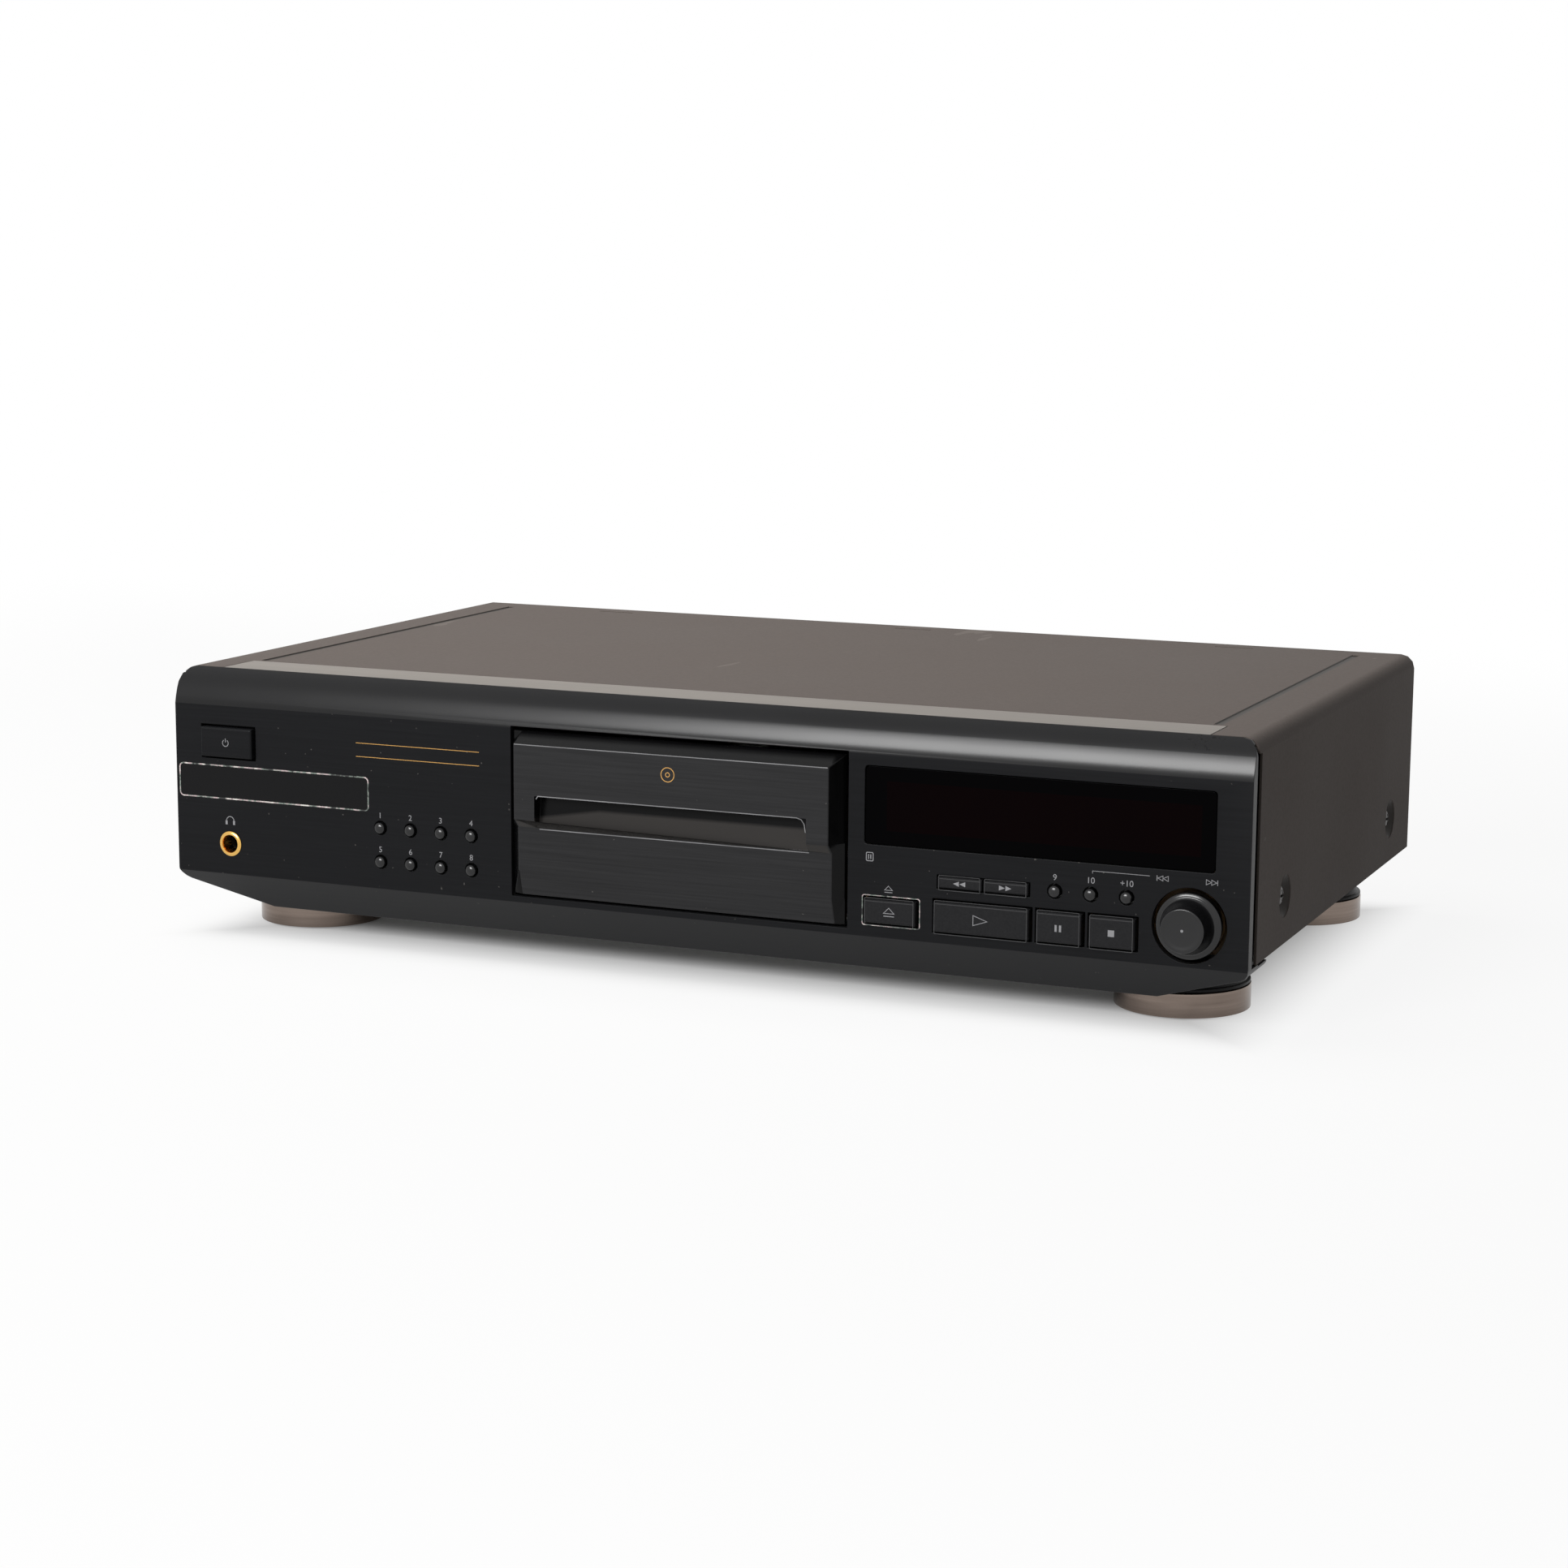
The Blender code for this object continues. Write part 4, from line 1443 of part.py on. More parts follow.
    y = back(CARRIAGE_PINION_DEPTH)
    mesh = bmesh.new()
    prism(mesh, gear_outline(PINION_TEETH, (CARRIAGE_PINION_X, y), HALF_TOOTH_SHARE), "z",
          up(CARRIAGE_LOW), up(CARRIAGE_LOW + GEAR_THICKNESS))
    item = shown("carriage_pinion", mesh, white, (CARRIAGE_PINION_X, y, up(CARRIAGE_LOW)))
    hole = bmesh.new()
    rod(hole, "z", (CARRIAGE_PINION_X, y, 0), MOTOR_SHAFT_RADIUS + SEAM_GAP, up(CARRIAGE_LOW - CUT_OVERRUN),
        up(CARRIAGE_LOW + GEAR_THICKNESS + CUT_OVERRUN))
    combine(item, hole, "DIFFERENCE")


def main():
    clear_scene()
    brushed = material("brushed_black", (0.020, 0.021, 0.023), 0.38, 0.6)
    key_black = material("key_black", (0.025, 0.026, 0.028), 0.42, 0.0)
    paint = material("taupe_paint", (0.120, 0.105, 0.095), 0.62, 0.2)
    bronze = material("bronze_metal", (0.400, 0.330, 0.290), 0.30, 1.0)
    black = material("black_plastic", (0.015, 0.015, 0.016), 0.50, 0.0)
    glass = material("smoked_glass", (0.006, 0.004, 0.004), 0.06, 0.0)
    gold = material("gold_plate", (0.780, 0.520, 0.220), 0.22, 1.0)
    steel = material("zinc_steel", (0.560, 0.560, 0.540), 0.35, 1.0)
    tape = material("coil_tape", (0.650, 0.480, 0.080), 0.45, 0.0)
    white = material("white_plastic", (0.780, 0.770, 0.740), 0.45, 0.0)
    board = material("circuit_board", (0.300, 0.170, 0.060), 0.50, 0.0)
    rubber = material("rubber", (0.020, 0.020, 0.020), 0.80, 0.0)

    make_front_panel(brushed)
    make_cover(paint)
    make_chassis(steel)
    make_feet(bronze)
    make_tray_door(brushed)
    make_display_window(glass)
    make_front_board("left_board", LEFT_BOARD_LEFT, LEFT_BOARD_RIGHT, LEFT_BOARD_TOP, board)
    make_front_board("right_board", DOOR_OPENING_HALF + BOARD_EDGE, RIGHT_BOARD_RIGHT, RIGHT_BOARD_TOP, board)
    make_buttons(key_black)
    make_knob(key_black)
    make_phones(gold, black)
    make_rear(paint, white, black)
    make_power(steel, tape, black)
    make_main_board(board)
    make_loader_frame(black)
    make_loading_drive(white, steel, rubber)
    make_disc_tray(black)
    make_base_unit(steel, steel, black)
    make_carriage(black, white, steel)


main()
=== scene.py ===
import json
import math

import bmesh
import bpy
import numpy as np
from mathutils import Matrix, Vector


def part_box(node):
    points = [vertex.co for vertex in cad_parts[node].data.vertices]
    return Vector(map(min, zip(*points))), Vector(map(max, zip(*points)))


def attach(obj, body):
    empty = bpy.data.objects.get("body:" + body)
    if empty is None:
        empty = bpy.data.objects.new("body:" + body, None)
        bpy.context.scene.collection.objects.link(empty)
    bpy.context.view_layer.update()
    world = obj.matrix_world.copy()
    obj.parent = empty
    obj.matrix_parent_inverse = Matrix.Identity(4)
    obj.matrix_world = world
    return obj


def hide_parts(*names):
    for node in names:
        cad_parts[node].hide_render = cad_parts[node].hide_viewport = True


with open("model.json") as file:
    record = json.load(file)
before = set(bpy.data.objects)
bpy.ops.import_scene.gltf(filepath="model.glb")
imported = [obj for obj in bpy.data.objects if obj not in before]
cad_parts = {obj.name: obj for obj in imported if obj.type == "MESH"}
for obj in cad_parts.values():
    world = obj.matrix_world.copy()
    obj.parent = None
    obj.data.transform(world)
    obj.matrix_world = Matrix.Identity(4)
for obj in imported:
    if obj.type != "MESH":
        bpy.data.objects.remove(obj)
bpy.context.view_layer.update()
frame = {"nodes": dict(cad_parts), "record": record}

nodes = frame["nodes"]
mm = 0.001
bodyOf = {node: body for body, members in frame["record"]["behaviour"]["bodies"].items() for node in members}

# All places are counted from two planes of the frame: the front face, and the fold where the chin starts.
seam = 0.3 * mm
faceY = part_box("front_panel")[0].y
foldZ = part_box("foot_front_left")[1].z + seam


def back(depth):
    return faceY + depth * mm


def up(height):
    return foldZ + height * mm


def middleOf(node):
    low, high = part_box(node)
    return (low + high) / 2


class Wire:
    # One output socket: sums, differences and products on it add Math nodes.

    def __init__(self, tree, socket):
        self.tree, self.socket = tree, socket

    def other(self, name):
        # Another output of the same node.
        return Wire(self.tree, self.socket.node.outputs[name])

    def worked(self, operation, first, second):
        return addNode(self.tree, "Math", {"operation": operation}, {0: first, 1: second})

    def __add__(self, other):
        return self.worked("ADD", self, other)

    def __sub__(self, other):
        return self.worked("SUBTRACT", self, other)

    def __rsub__(self, other):
        return self.worked("SUBTRACT", other, self)

    def __mul__(self, other):
        return self.worked("MULTIPLY", self, other)

    def __gt__(self, other):
        return self.worked("GREATER_THAN", self, other)

    def __lt__(self, other):
        return self.worked("LESS_THAN", self, other)

    def larger(self, other):
        return self.worked("MAXIMUM", self, other)

    __radd__ = __add__
    __rmul__ = __mul__


def addNode(tree, kind, settings=None, sockets=None, output=0):
    # Any node at all: its type, its settings first, then a value or a wire for each socket.
    node = tree.nodes.new("ShaderNode" + kind)
    for name, value in (settings or {}).items():
        if name == "stops":
            ramp = node.color_ramp.elements
            for place, (position, colour) in enumerate(value):
                stop = ramp[place] if place < len(ramp) else ramp.new(position)
                stop.position, stop.color = position, (*colour, 1)
        else:
            setattr(node, name, value)
    for name, value in (sockets or {}).items():
        if isinstance(value, Wire):
            tree.links.new(value.socket, node.inputs[name])
        else:
            node.inputs[name].default_value = value
    return Wire(tree, node.outputs[output]) if len(node.outputs) else node


def makeMaterial(name, values, paint=None):
    # The values are constants on the shader; paint adds what changes over the surface.
    material = bpy.data.materials.new(name)
    material.use_nodes = True
    shader = material.node_tree.nodes["Principled BSDF"]
    for socket, value in values.items():
        shader.inputs[socket].default_value = (*value, 1) if socket == "Base Color" else value
    if paint:
        for socket, wire in paint(material.node_tree).items():
            material.node_tree.links.new(wire.socket, shader.inputs[socket])
    return material


def grain(tree, scale, stretch, detail):
    # Noise over the piece's own coordinates, drawn out along an axis where its stretch is small.
    place = addNode(tree, "TexCoord", output="Object")
    mapped = addNode(tree, "Mapping", {"vector_type": "POINT"}, {"Vector": place, "Scale": stretch})
    roughness = 0.6
    return addNode(tree, "TexNoise", {},
                   {"Vector": mapped, "Scale": scale, "Detail": detail, "Roughness": roughness})


def axes(tree):
    # The piece's own X, Y and Z as three wires.
    split = addNode(tree, "SeparateXYZ", {}, {0: addNode(tree, "TexCoord", output="Object")})
    return [split.other(name) for name in "XYZ"]


def blendColours(tree, factor, dark, light):
    return addNode(tree, "ValToRGB", {"stops": [(0.0, dark), (1.0, light)]}, {0: factor})


def laidOver(tree, share, under, colour):
    # The colour over what is under it, as much as the share says.
    return addNode(tree, "Mix", {"data_type": "RGBA"}, {0: share, 6: under, 7: (*colour, 1)}, 2)


def bump(tree, height, strength, distance):
    return addNode(tree, "Bump", {}, {"Height": height, "Strength": strength, "Distance": distance})


def mottled(look):
    # A finish whose one noise moves the colour between dark and light and, where it is given, the roughness.
    def paint(tree):
        noise = grain(tree, *look["noise"])
        sockets = {"Base Color": blendColours(tree, noise, look["dark"], look["light"])}
        if "spread" in look:
            sockets["Roughness"] = noise * look["spread"] + look["smooth"]
        return sockets
    return paint


# Finishes. A noise is its scale, its stretch along x, y and z, and its detail. Smooth is the least roughness,
# spread and dull are what the noise and the specks or scuffs add to it. Places are in millimetres.
brushedLook = {"face": ((0.0030, 0.0031, 0.0037), (0.0082, 0.0085, 0.0097)),
               # The door's colours are the face's brushing made lighter: painted sheen.
               "door": ((0.0045, 0.0045, 0.0050), (0.0290, 0.0290, 0.0305)),
               "lines": (1.0, (22, 90, 1300), 4), "broad": (7.0, (1, 1, 3), 2), "lineShare": 0.75,
               "smooth": 0.28, "spread": 0.16, "bump": (0.10, 0.1 * mm)}
dustLook = {"specks": (620.0, (1, 1, 1), 1), "level": 0.79, "share": 0.35, "dull": 0.3,
            "colour": (0.16, 0.15, 0.14)}
rollLook = {"dark": (0.0022, 0.0022, 0.0026), "light": (0.0045, 0.0045, 0.0050),
            "smear": (14.0, (1, 1, 1), 3), "smooth": 0.21, "spread": 0.07,
            "scuffs": (420.0, (1, 1, 1), 3), "scuffLevel": 0.625, "scuffed": (0.0010, 0.0010, 0.0010),
            "scuffDull": 0.55, "from": 190.0, "to": 204.0, "above": 74.0}
coverLook = {"dark": (0.056, 0.047, 0.042), "light": (0.106, 0.089, 0.081), "fine": (900.0, (1, 1, 1), 2),
             "broad": (9.0, (1, 1, 1), 4), "fineShare": 0.62, "smooth": 0.52, "spread": 0.14,
             "scuffs": (60.0, (1, 0.25, 1), 3), "scuffLevel": 0.70, "scuffShare": 0.18,
             "scuffed": (0.22, 0.20, 0.18), "bump": (0.22, 0.15 * mm)}
footLook = {"dark": (0.085, 0.064, 0.052), "light": (0.330, 0.265, 0.228), "turned": (1.0, (25, 25, 900), 3),
            "broad": (30.0, (1, 1, 1), 2), "turnedShare": 0.5, "smooth": 0.16, "spread": 0.16}
windowLook = {"rim": (0.0009, 0.0008, 0.0010), "inside": (0.0024, 0.0006, 0.0008), "left": 8.0, "edge": 5.0,
              "weave": (40.0, (1, 1, 1), 1), "weaveShare": 0.5}
# The finger groove's colours: black above the border as painted shadow under the lip, a warm grey below.
grooveShadowLook = {"above": (0.0022, 0.0022, 0.0024), "below": (0.0330, 0.0305, 0.0290), "border": 37.6,
              "bendAt": -30.0, "slope": 0.16, "fade": (0.5, -0.9)}
lipLook = {"dark": (0.110, 0.100, 0.090), "light": (0.220, 0.200, 0.180), "noise": (1.0, (12, 700, 700), 2),
           "smooth": 0.36, "spread": 0.15}
keyLook = {"dark": (0.007, 0.007, 0.008), "light": (0.015, 0.015, 0.016), "noise": (1500.0, (1, 1, 1), 1),
           "smooth": 0.34, "spread": 0.12}
zincLook = {"dark": (0.42, 0.42, 0.40), "light": (0.62, 0.62, 0.60), "noise": (45.0, (1, 1, 1), 4),
            "smooth": 0.28, "spread": 0.25}
boardLook = {"dark": (0.22, 0.12, 0.04), "light": (0.34, 0.20, 0.08), "noise": (70.0, (1, 1, 1), 3),
             "smooth": 0.35, "spread": 0.2}
# Pale patchy lines along the door's edges: painted highlight.
glintLook = {"dark": (0.03, 0.03, 0.032), "light": (0.34, 0.34, 0.35), "noise": (1.0, (60, 400, 400), 3)}
# Pale patchy colour for the key edges: wear and painted highlight.
edgeLook = {"dark": (0.008, 0.008, 0.009), "light": (0.085, 0.085, 0.088), "noise": (150.0, (1, 1, 1), 3)}
silverLook = {"noise": (320.0, (1, 1, 1), 2),
              "stops": [(0.36, (0.02, 0.02, 0.02)), (0.66, (0.62, 0.60, 0.56)),
                        (0.48, (0.20, 0.24, 0.21)), (0.56, (0.42, 0.32, 0.33))]}


def paintBrushed(tree, part="face"):
    # Fine lines along x over broad patches, with a few specks of dust.
    look = brushedLook
    lines, broad = grain(tree, *look["lines"]), grain(tree, *look["broad"])
    dust = grain(tree, *dustLook["specks"]) > dustLook["level"]
    base = blendColours(tree, lines * look["lineShare"] + broad * (1 - look["lineShare"]), *look[part])
    return {"Base Color": laidOver(tree, dust * dustLook["share"], base, dustLook["colour"]),
            "Roughness": lines * look["spread"] + look["smooth"] + dust * dustLook["dull"],
            "Normal": bump(tree, lines, *look["bump"])}


# The face's brushing in the door's lighter colours, which hold painted sheen.
def paintDoor(tree):
    return paintBrushed(tree, "door")


def paintRoll(tree):
    # Smooth gloss; a few scuffs near its right end are dull and dark.
    look = rollLook
    smear = grain(tree, *look["smear"])
    x, y, z = axes(tree)
    corner = (x > look["from"] * mm) * (x < look["to"] * mm) * (z > up(look["above"]))
    scuff = (grain(tree, *look["scuffs"]) > look["scuffLevel"]) * corner
    gloss = blendColours(tree, smear, look["dark"], look["light"])
    return {"Base Color": laidOver(tree, scuff, gloss, look["scuffed"]),
            "Roughness": smear * look["spread"] + look["smooth"] + scuff * look["scuffDull"]}


def paintCover(tree):
    # Grained paint, a little uneven, with pale rub marks.
    look = coverLook
    fine, broad = grain(tree, *look["fine"]), grain(tree, *look["broad"])
    scuffs = grain(tree, *look["scuffs"]) > look["scuffLevel"]
    mixed = fine * look["fineShare"] + broad * (1 - look["fineShare"])
    paint = blendColours(tree, mixed, look["dark"], look["light"])
    return {"Base Color": laidOver(tree, scuffs * look["scuffShare"], paint, look["scuffed"]),
            "Roughness": broad * look["spread"] + look["smooth"], "Normal": bump(tree, fine, *look["bump"])}


def paintFoot(tree):
    # Fine turning marks round the foot over broad patches.
    look = footLook
    turned, broad = grain(tree, *look["turned"]), grain(tree, *look["broad"])
    mixed = turned * look["turnedShare"] + broad * (1 - look["turnedShare"])
    return {"Base Color": blendColours(tree, mixed, look["dark"], look["light"]),
            "Roughness": turned * look["spread"] + look["smooth"]}


def paintWindow(tree):
    # A faint red glow of the unlit display, inside a black rim.
    look = windowLook
    x, y, z = axes(tree)
    low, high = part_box("display_window")
    edge = look["edge"] * mm
    inside = (x > low.x + look["left"] * mm) * (x < high.x - edge) * (z > low.z + edge) * (z < high.z - edge)
    weave = grain(tree, *look["weave"]) * look["weaveShare"] + (1 - look["weaveShare"])
    return {"Base Color": laidOver(tree, inside * weave, (*look["rim"], 1), look["inside"])}


def paintSilver(tree):
    # Silver that breaks up along its length into pale rose, green and dark stretches.
    return {"Base Color": addNode(tree, "ValToRGB", {"stops": silverLook["stops"]},
                                  {0: grain(tree, *silverLook["noise"])})}


def paintGroove(tree):
    # Painted shadow: black under the upper lip, a warm grey below it; the border of the shadow sinks a little
    # towards the left end.
    look = grooveShadowLook
    x, y, z = axes(tree)
    bend = look["bendAt"] * mm
    border = up(look["border"]) - (x * -1.0 + bend) * ((x < bend) * look["slope"])
    start, end = (value * mm for value in look["fade"])
    below = addNode(tree, "MapRange", {}, {0: z - border, 1: start, 2: end, 3: 0.0, 4: 1.0})
    return {"Base Color": blendColours(tree, below, look["above"], look["below"])}


def plainMaterial(name, colour, roughness, metallic=0.0, level=0.5):
    return makeMaterial(name, {"Base Color": colour, "Roughness": roughness, "Metallic": metallic,
                               "Specular IOR Level": level})


shine = "Specular IOR Level"
finish = {
    "brushed": makeMaterial("brushedBlack", {shine: 0.10}, paintBrushed),
    "door": makeMaterial("brushedDoorSheen", {shine: 0.16}, paintDoor),
    "chin": makeMaterial("brushedChin", {shine: 0.16}, paintBrushed),
    "roll": makeMaterial("rolledEdge", {shine: 0.30}, paintRoll),
    "lip": makeMaterial("paleLip", {shine: 0.06}, mottled(lipLook)),
    "cover": makeMaterial("coverPaint", {shine: 0.04}, paintCover),
    "key": makeMaterial("keyPlastic", {shine: 0.12}, mottled(keyLook)),
    "keyEdge": makeMaterial("keyEdge", {"Roughness": 0.4}, mottled(edgeLook)),
    "foot": makeMaterial("bronzeMetal", {"Metallic": 1.0}, paintFoot),
    "zinc": makeMaterial("zincSheet", {"Metallic": 1.0}, mottled(zincLook)),
    "board": makeMaterial("circuitBoard", {shine: 0.4}, mottled(boardLook)),
    "window": makeMaterial("smokedWindow", {"Roughness": 0.06, shine: 0.015}, paintWindow),
    "filmEdge": makeMaterial("stickerEdge", {"Roughness": 0.35}, paintSilver),
    "crease": makeMaterial("paintedEdgeGlint", {"Roughness": 0.3}, mottled(glintLook)),
    "groove": makeMaterial("grooveGlossShadow", {"Roughness": 0.22, shine: 0.10}, paintGroove),
    "gloss": plainMaterial("glossPlastic", (0.004, 0.004, 0.0045), 0.20, level=0.45),
    # A darker paint for the cover's screw dishes and grooves: painted shade.
    "recessShade": plainMaterial("coverRecessShade", (0.030, 0.026, 0.023), 0.6, level=0.2),
    "plastic": plainMaterial("blackPlastic", (0.012, 0.012, 0.013), 0.42),
    "rod": plainMaterial("groundRod", (0.7, 0.7, 0.7), 0.12, 1.0),
    "iron": plainMaterial("varnishedIron", (0.10, 0.09, 0.08), 0.5, 0.6),
    "tape": plainMaterial("windingTape", (0.68, 0.50, 0.10), 0.4),
    "white": plainMaterial("whiteMoulding", (0.74, 0.73, 0.69), 0.42),
    "red": plainMaterial("redMoulding", (0.55, 0.02, 0.02), 0.4),
    "gold": plainMaterial("goldPlate", (0.76, 0.46, 0.13), 0.20, 1.0),
    "rubber": plainMaterial("blackRubber", (0.014, 0.014, 0.014), 0.75),
    "print": plainMaterial("greyPrint", (0.22, 0.22, 0.23), 0.5),
    "goldPrint": plainMaterial("goldPrint", (0.52, 0.28, 0.07), 0.45),
    "screw": plainMaterial("darkScrew", (0.045, 0.042, 0.040), 0.35, 0.5),
    "film": plainMaterial("stickerFilm", (0.0035, 0.0035, 0.004), 0.16, level=0.14),
    # Darker than the door's brushing; on the door's end faces it is painted shade.
    "bevel": plainMaterial("doorBevel", (0.0020, 0.0020, 0.0022), 0.2, level=0.12),
}
print("finishes made")


def setPiece(name, mesh, body, even=False):
    # The mesh as an object of its own that rides on the body; even normals keep its eased flats flat.
    item = bpy.data.objects.new(name, mesh)
    bpy.context.scene.collection.objects.link(item)
    if even:
        item.modifiers.new("evenNormals", "WEIGHTED_NORMAL").keep_sharp = True
    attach(item, body)
    return item


# Distances in millimetres within which corners join; angles in degrees past which an edge is eased or sharp.
merging = {"own": 0.002, "cad": 0.004, "flat": 1.0, "eased": 34.0, "ownSharp": 38.0, "cadSharp": 30.0,
           "easedSteps": 2, "easedProfile": 0.6}


def addPiece(name, vertices, faces, material, body, smooth=True, zones=None):
    # Vertices and faces as they are, in the row frame; zones give each face its material among several.
    mesh = bpy.data.meshes.new(name)
    mesh.from_pydata(vertices.tolist(), [], faces)
    for each in material if isinstance(material, list) else [material]:
        mesh.materials.append(each)
    if zones is not None:
        mesh.polygons.foreach_set("material_index", np.asarray(zones, dtype=np.int32))
    clean = bmesh.new()
    clean.from_mesh(mesh)
    bmesh.ops.remove_doubles(clean, verts=clean.verts, dist=merging["own"] * mm)
    bmesh.ops.recalc_face_normals(clean, faces=clean.faces)
    clean.to_mesh(mesh)
    clean.free()
    mesh.validate()
    if smooth:
        mesh.shade_smooth()
        mesh.set_sharp_from_angle(angle=math.radians(merging["ownSharp"]))
    return setPiece(name, mesh, body)


def gridFaces(rows, columns):
    # Quads between neighbouring rows of a grid whose columns run round and meet.
    row, column = np.meshgrid(np.arange(rows - 1), np.arange(columns), indexing="ij")
    follow = (column + 1) % columns
    here, below = row * columns, (row + 1) * columns
    quads = np.stack([here + column, here + follow, below + follow, below + column], -1)
    return quads.reshape(-1, 4).tolist()


def softened(profile, radius, steps=4):
    # Each inner corner of an open profile becomes an arc of the radius, or of less where a side is short:
    # the arc is the quadratic curve from one tangent point to the other, with the corner as its control.
    mostShare = 0.45
    points = [profile[0]]
    for before, corner, after in zip(profile, profile[1:], profile[2:]):
        before, corner, after = (np.array(p, float) for p in (before, corner, after))
        sideA, sideB = np.linalg.norm(before - corner), np.linalg.norm(after - corner)
        reach = min(radius, mostShare * sideA, mostShare * sideB)
        start, end = corner + (before - corner) / sideA * reach, corner + (after - corner) / sideB * reach
        for t in np.linspace(0, 1, steps + 1):
            points.append(tuple((1 - t) ** 2 * start + 2 * t * (1 - t) * corner + t * t * end))
    points.append(profile[-1])
    return points


def turnedPiece(name, profile, axis, centre, material, body, around=72, radius=0.0, zoneAt=None):
    # A profile of (radius, place along the axis) in millimetres, turned about the axis through the centre:
    # for y or z as the axis, the other two coordinates are radius * cos(angle) and radius * sin(angle).
    rows = np.array(softened(profile, radius) if radius else profile, float)
    angle = np.linspace(0, 2 * np.pi, around, endpoint=False)
    across = rows[:, :1] * np.cos(angle), rows[:, :1] * np.sin(angle)
    along = np.repeat(rows[:, 1:2], around, 1)
    order = {"y": (across[0], along, across[1]), "z": (*across, along)}[axis]
    points = np.stack(order, -1).reshape(-1, 3) * mm + np.array(centre)
    zones = None
    if zoneAt:
        middle = (rows[1:] + rows[:-1]) / 2
        zones = np.repeat([zoneAt(r, s) for r, s in middle], around)
    return addPiece(name, points, gridFaces(len(rows), around), material, body, zones=zones)


def threes(collection, name):
    # One row of three values for each vertex or face.
    values = np.empty(len(collection) * 3)
    collection.foreach_get(name, values)
    return values.reshape(-1, 3)


def dressed(node, material, edge=0.0, choose=None):
    # The node's own solid with its corners joined, flat faces merged and sharp edges eased, in its finish.
    work = bmesh.new()
    work.from_mesh(nodes[node].data)
    bmesh.ops.remove_doubles(work, verts=work.verts, dist=merging["cad"] * mm)
    flat = math.radians(merging["flat"])
    bmesh.ops.dissolve_limit(work, angle_limit=flat, verts=work.verts, edges=work.edges)
    if edge:
        turn = math.radians(merging["eased"])
        sharp = [e for e in work.edges if len(e.link_faces) == 2 and e.calc_face_angle(0) > turn]
        bmesh.ops.bevel(work, geom=sharp, offset=edge * mm, offset_type="OFFSET", affect="EDGES",
                        segments=merging["easedSteps"], profile=merging["easedProfile"], clamp_overlap=False,
                        harden_normals=False)
    mesh = bpy.data.meshes.new(node + "Dressed")
    work.to_mesh(mesh)
    work.free()
    low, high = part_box(node)
    inside = np.clip(threes(mesh.vertices, "co"), np.array(low), np.array(high))
    mesh.vertices.foreach_set("co", inside.ravel())
    mesh.update()
    mesh.materials.clear()
    for each in material if isinstance(material, list) else [material]:
        mesh.materials.append(each)
    zones = np.zeros(len(mesh.polygons), np.int32)
    if choose:
        zones[:] = choose(threes(mesh.polygons, "center").T, threes(mesh.polygons, "normal").T)
    mesh.polygons.foreach_set("material_index", zones)
    mesh.shade_smooth()
    mesh.set_sharp_from_angle(angle=math.radians(merging["cadSharp"]))
    item = setPiece(node + "Dressed", mesh, bodyOf[node], True)
    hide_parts(node)


# Case: one moulded front with brushed face, rolled edge and pale lip, and the bent painted cover.
frontZones = {"lipAbove": 79.0, "lipBehind": 7.2, "rollAbove": 65.6, "sideBehind": 0.6, "chinBelow": -0.1}


def chooseFront(centre, normal):
    # 2 the lip, 1 the roll, 3 the sides and what lies behind the face, 4 the chin, 0 the face.
    z = frontZones
    lip = (centre[2] > up(z["lipAbove"])) & (normal[2] > 0.9) & (centre[1] > back(z["lipBehind"]))
    roll = (centre[2] > up(z["rollAbove"])) & (abs(normal[0]) < 0.6)
    side = (abs(normal[0]) > 0.3) | (centre[1] > back(z["sideBehind"])) & (centre[2] > foldZ)
    return np.select([lip, roll, side, centre[2] < up(z["chinBelow"])], [2, 1, 3, 4], 0)


frontLooks = [finish[look] for look in ("brushed", "roll", "lip", "key", "chin")]
dressed("front_panel", frontLooks, 0.3, chooseFront)

seatLook = {"depths": (47.8, 214.6), "height": 18.0, "radius": 8.8, "inside": 0.25}
grooveZone = {"inset": 21.5, "half": 1.6, "from": 20.0, "to": 238.0, "low": 78.0, "high": 79.9}
coverLow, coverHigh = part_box("top_cover")


def chooseCover(centre, normal):
    # 1 the dished screw seats on both sides and the two long grooves on top, in a darker colour that is
    # painted shade in those hollows, 0 the painted sheet.
    g, s = grooveZone, seatLook
    groove = abs(abs(centre[0]) - coverHigh.x + g["inset"] * mm) < g["half"] * mm
    groove &= (centre[1] > back(g["from"])) & (centre[1] < back(g["to"]))
    groove &= (centre[2] > up(g["low"])) & (centre[2] < up(g["high"]))
    away = [np.hypot(centre[1] - back(depth), centre[2] - up(s["height"])) for depth in s["depths"]]
    sunk = (np.minimum(*away) < s["radius"] * mm) & (abs(centre[0]) < coverHigh.x - s["inside"] * mm)
    return (groove | sunk).astype(int)


dressed("top_cover", [finish["cover"], finish["recessShade"]], 0.25, chooseCover)
dressed("rear_panel", finish["cover"], 0.2)
dressed("chassis_base", finish["zinc"], 0.2)

doorZones = {"grooveHalf": 54.6, "grooveLow": 29.6, "grooveTop": 42.3, "grooveOut": -6.8, "bevelAbove": 61.2,
             "endHalf": 63.0}


def chooseDoor(centre, normal):
    # 2 the finger groove, 1 the bevels above and at both ends in a darker gloss black, which on the end faces
    # is painted shade, 0 the brushed front.
    z = doorZones
    groove = (abs(centre[0]) < z["grooveHalf"] * mm) & (centre[1] > back(z["grooveOut"]))
    groove &= (centre[2] > up(z["grooveLow"])) & (centre[2] < up(z["grooveTop"]))
    bevel = (normal[2] > 0.1) & (centre[2] > up(z["bevelAbove"])) | (abs(centre[0]) > z["endHalf"] * mm)
    return np.select([groove, bevel], [2, 1], 0)


dressed("tray_door", [finish["door"], finish["bevel"], finish["groove"]], 0.35, chooseDoor)
dressed("display_window", finish["window"], 0.3)
print("case dressed")

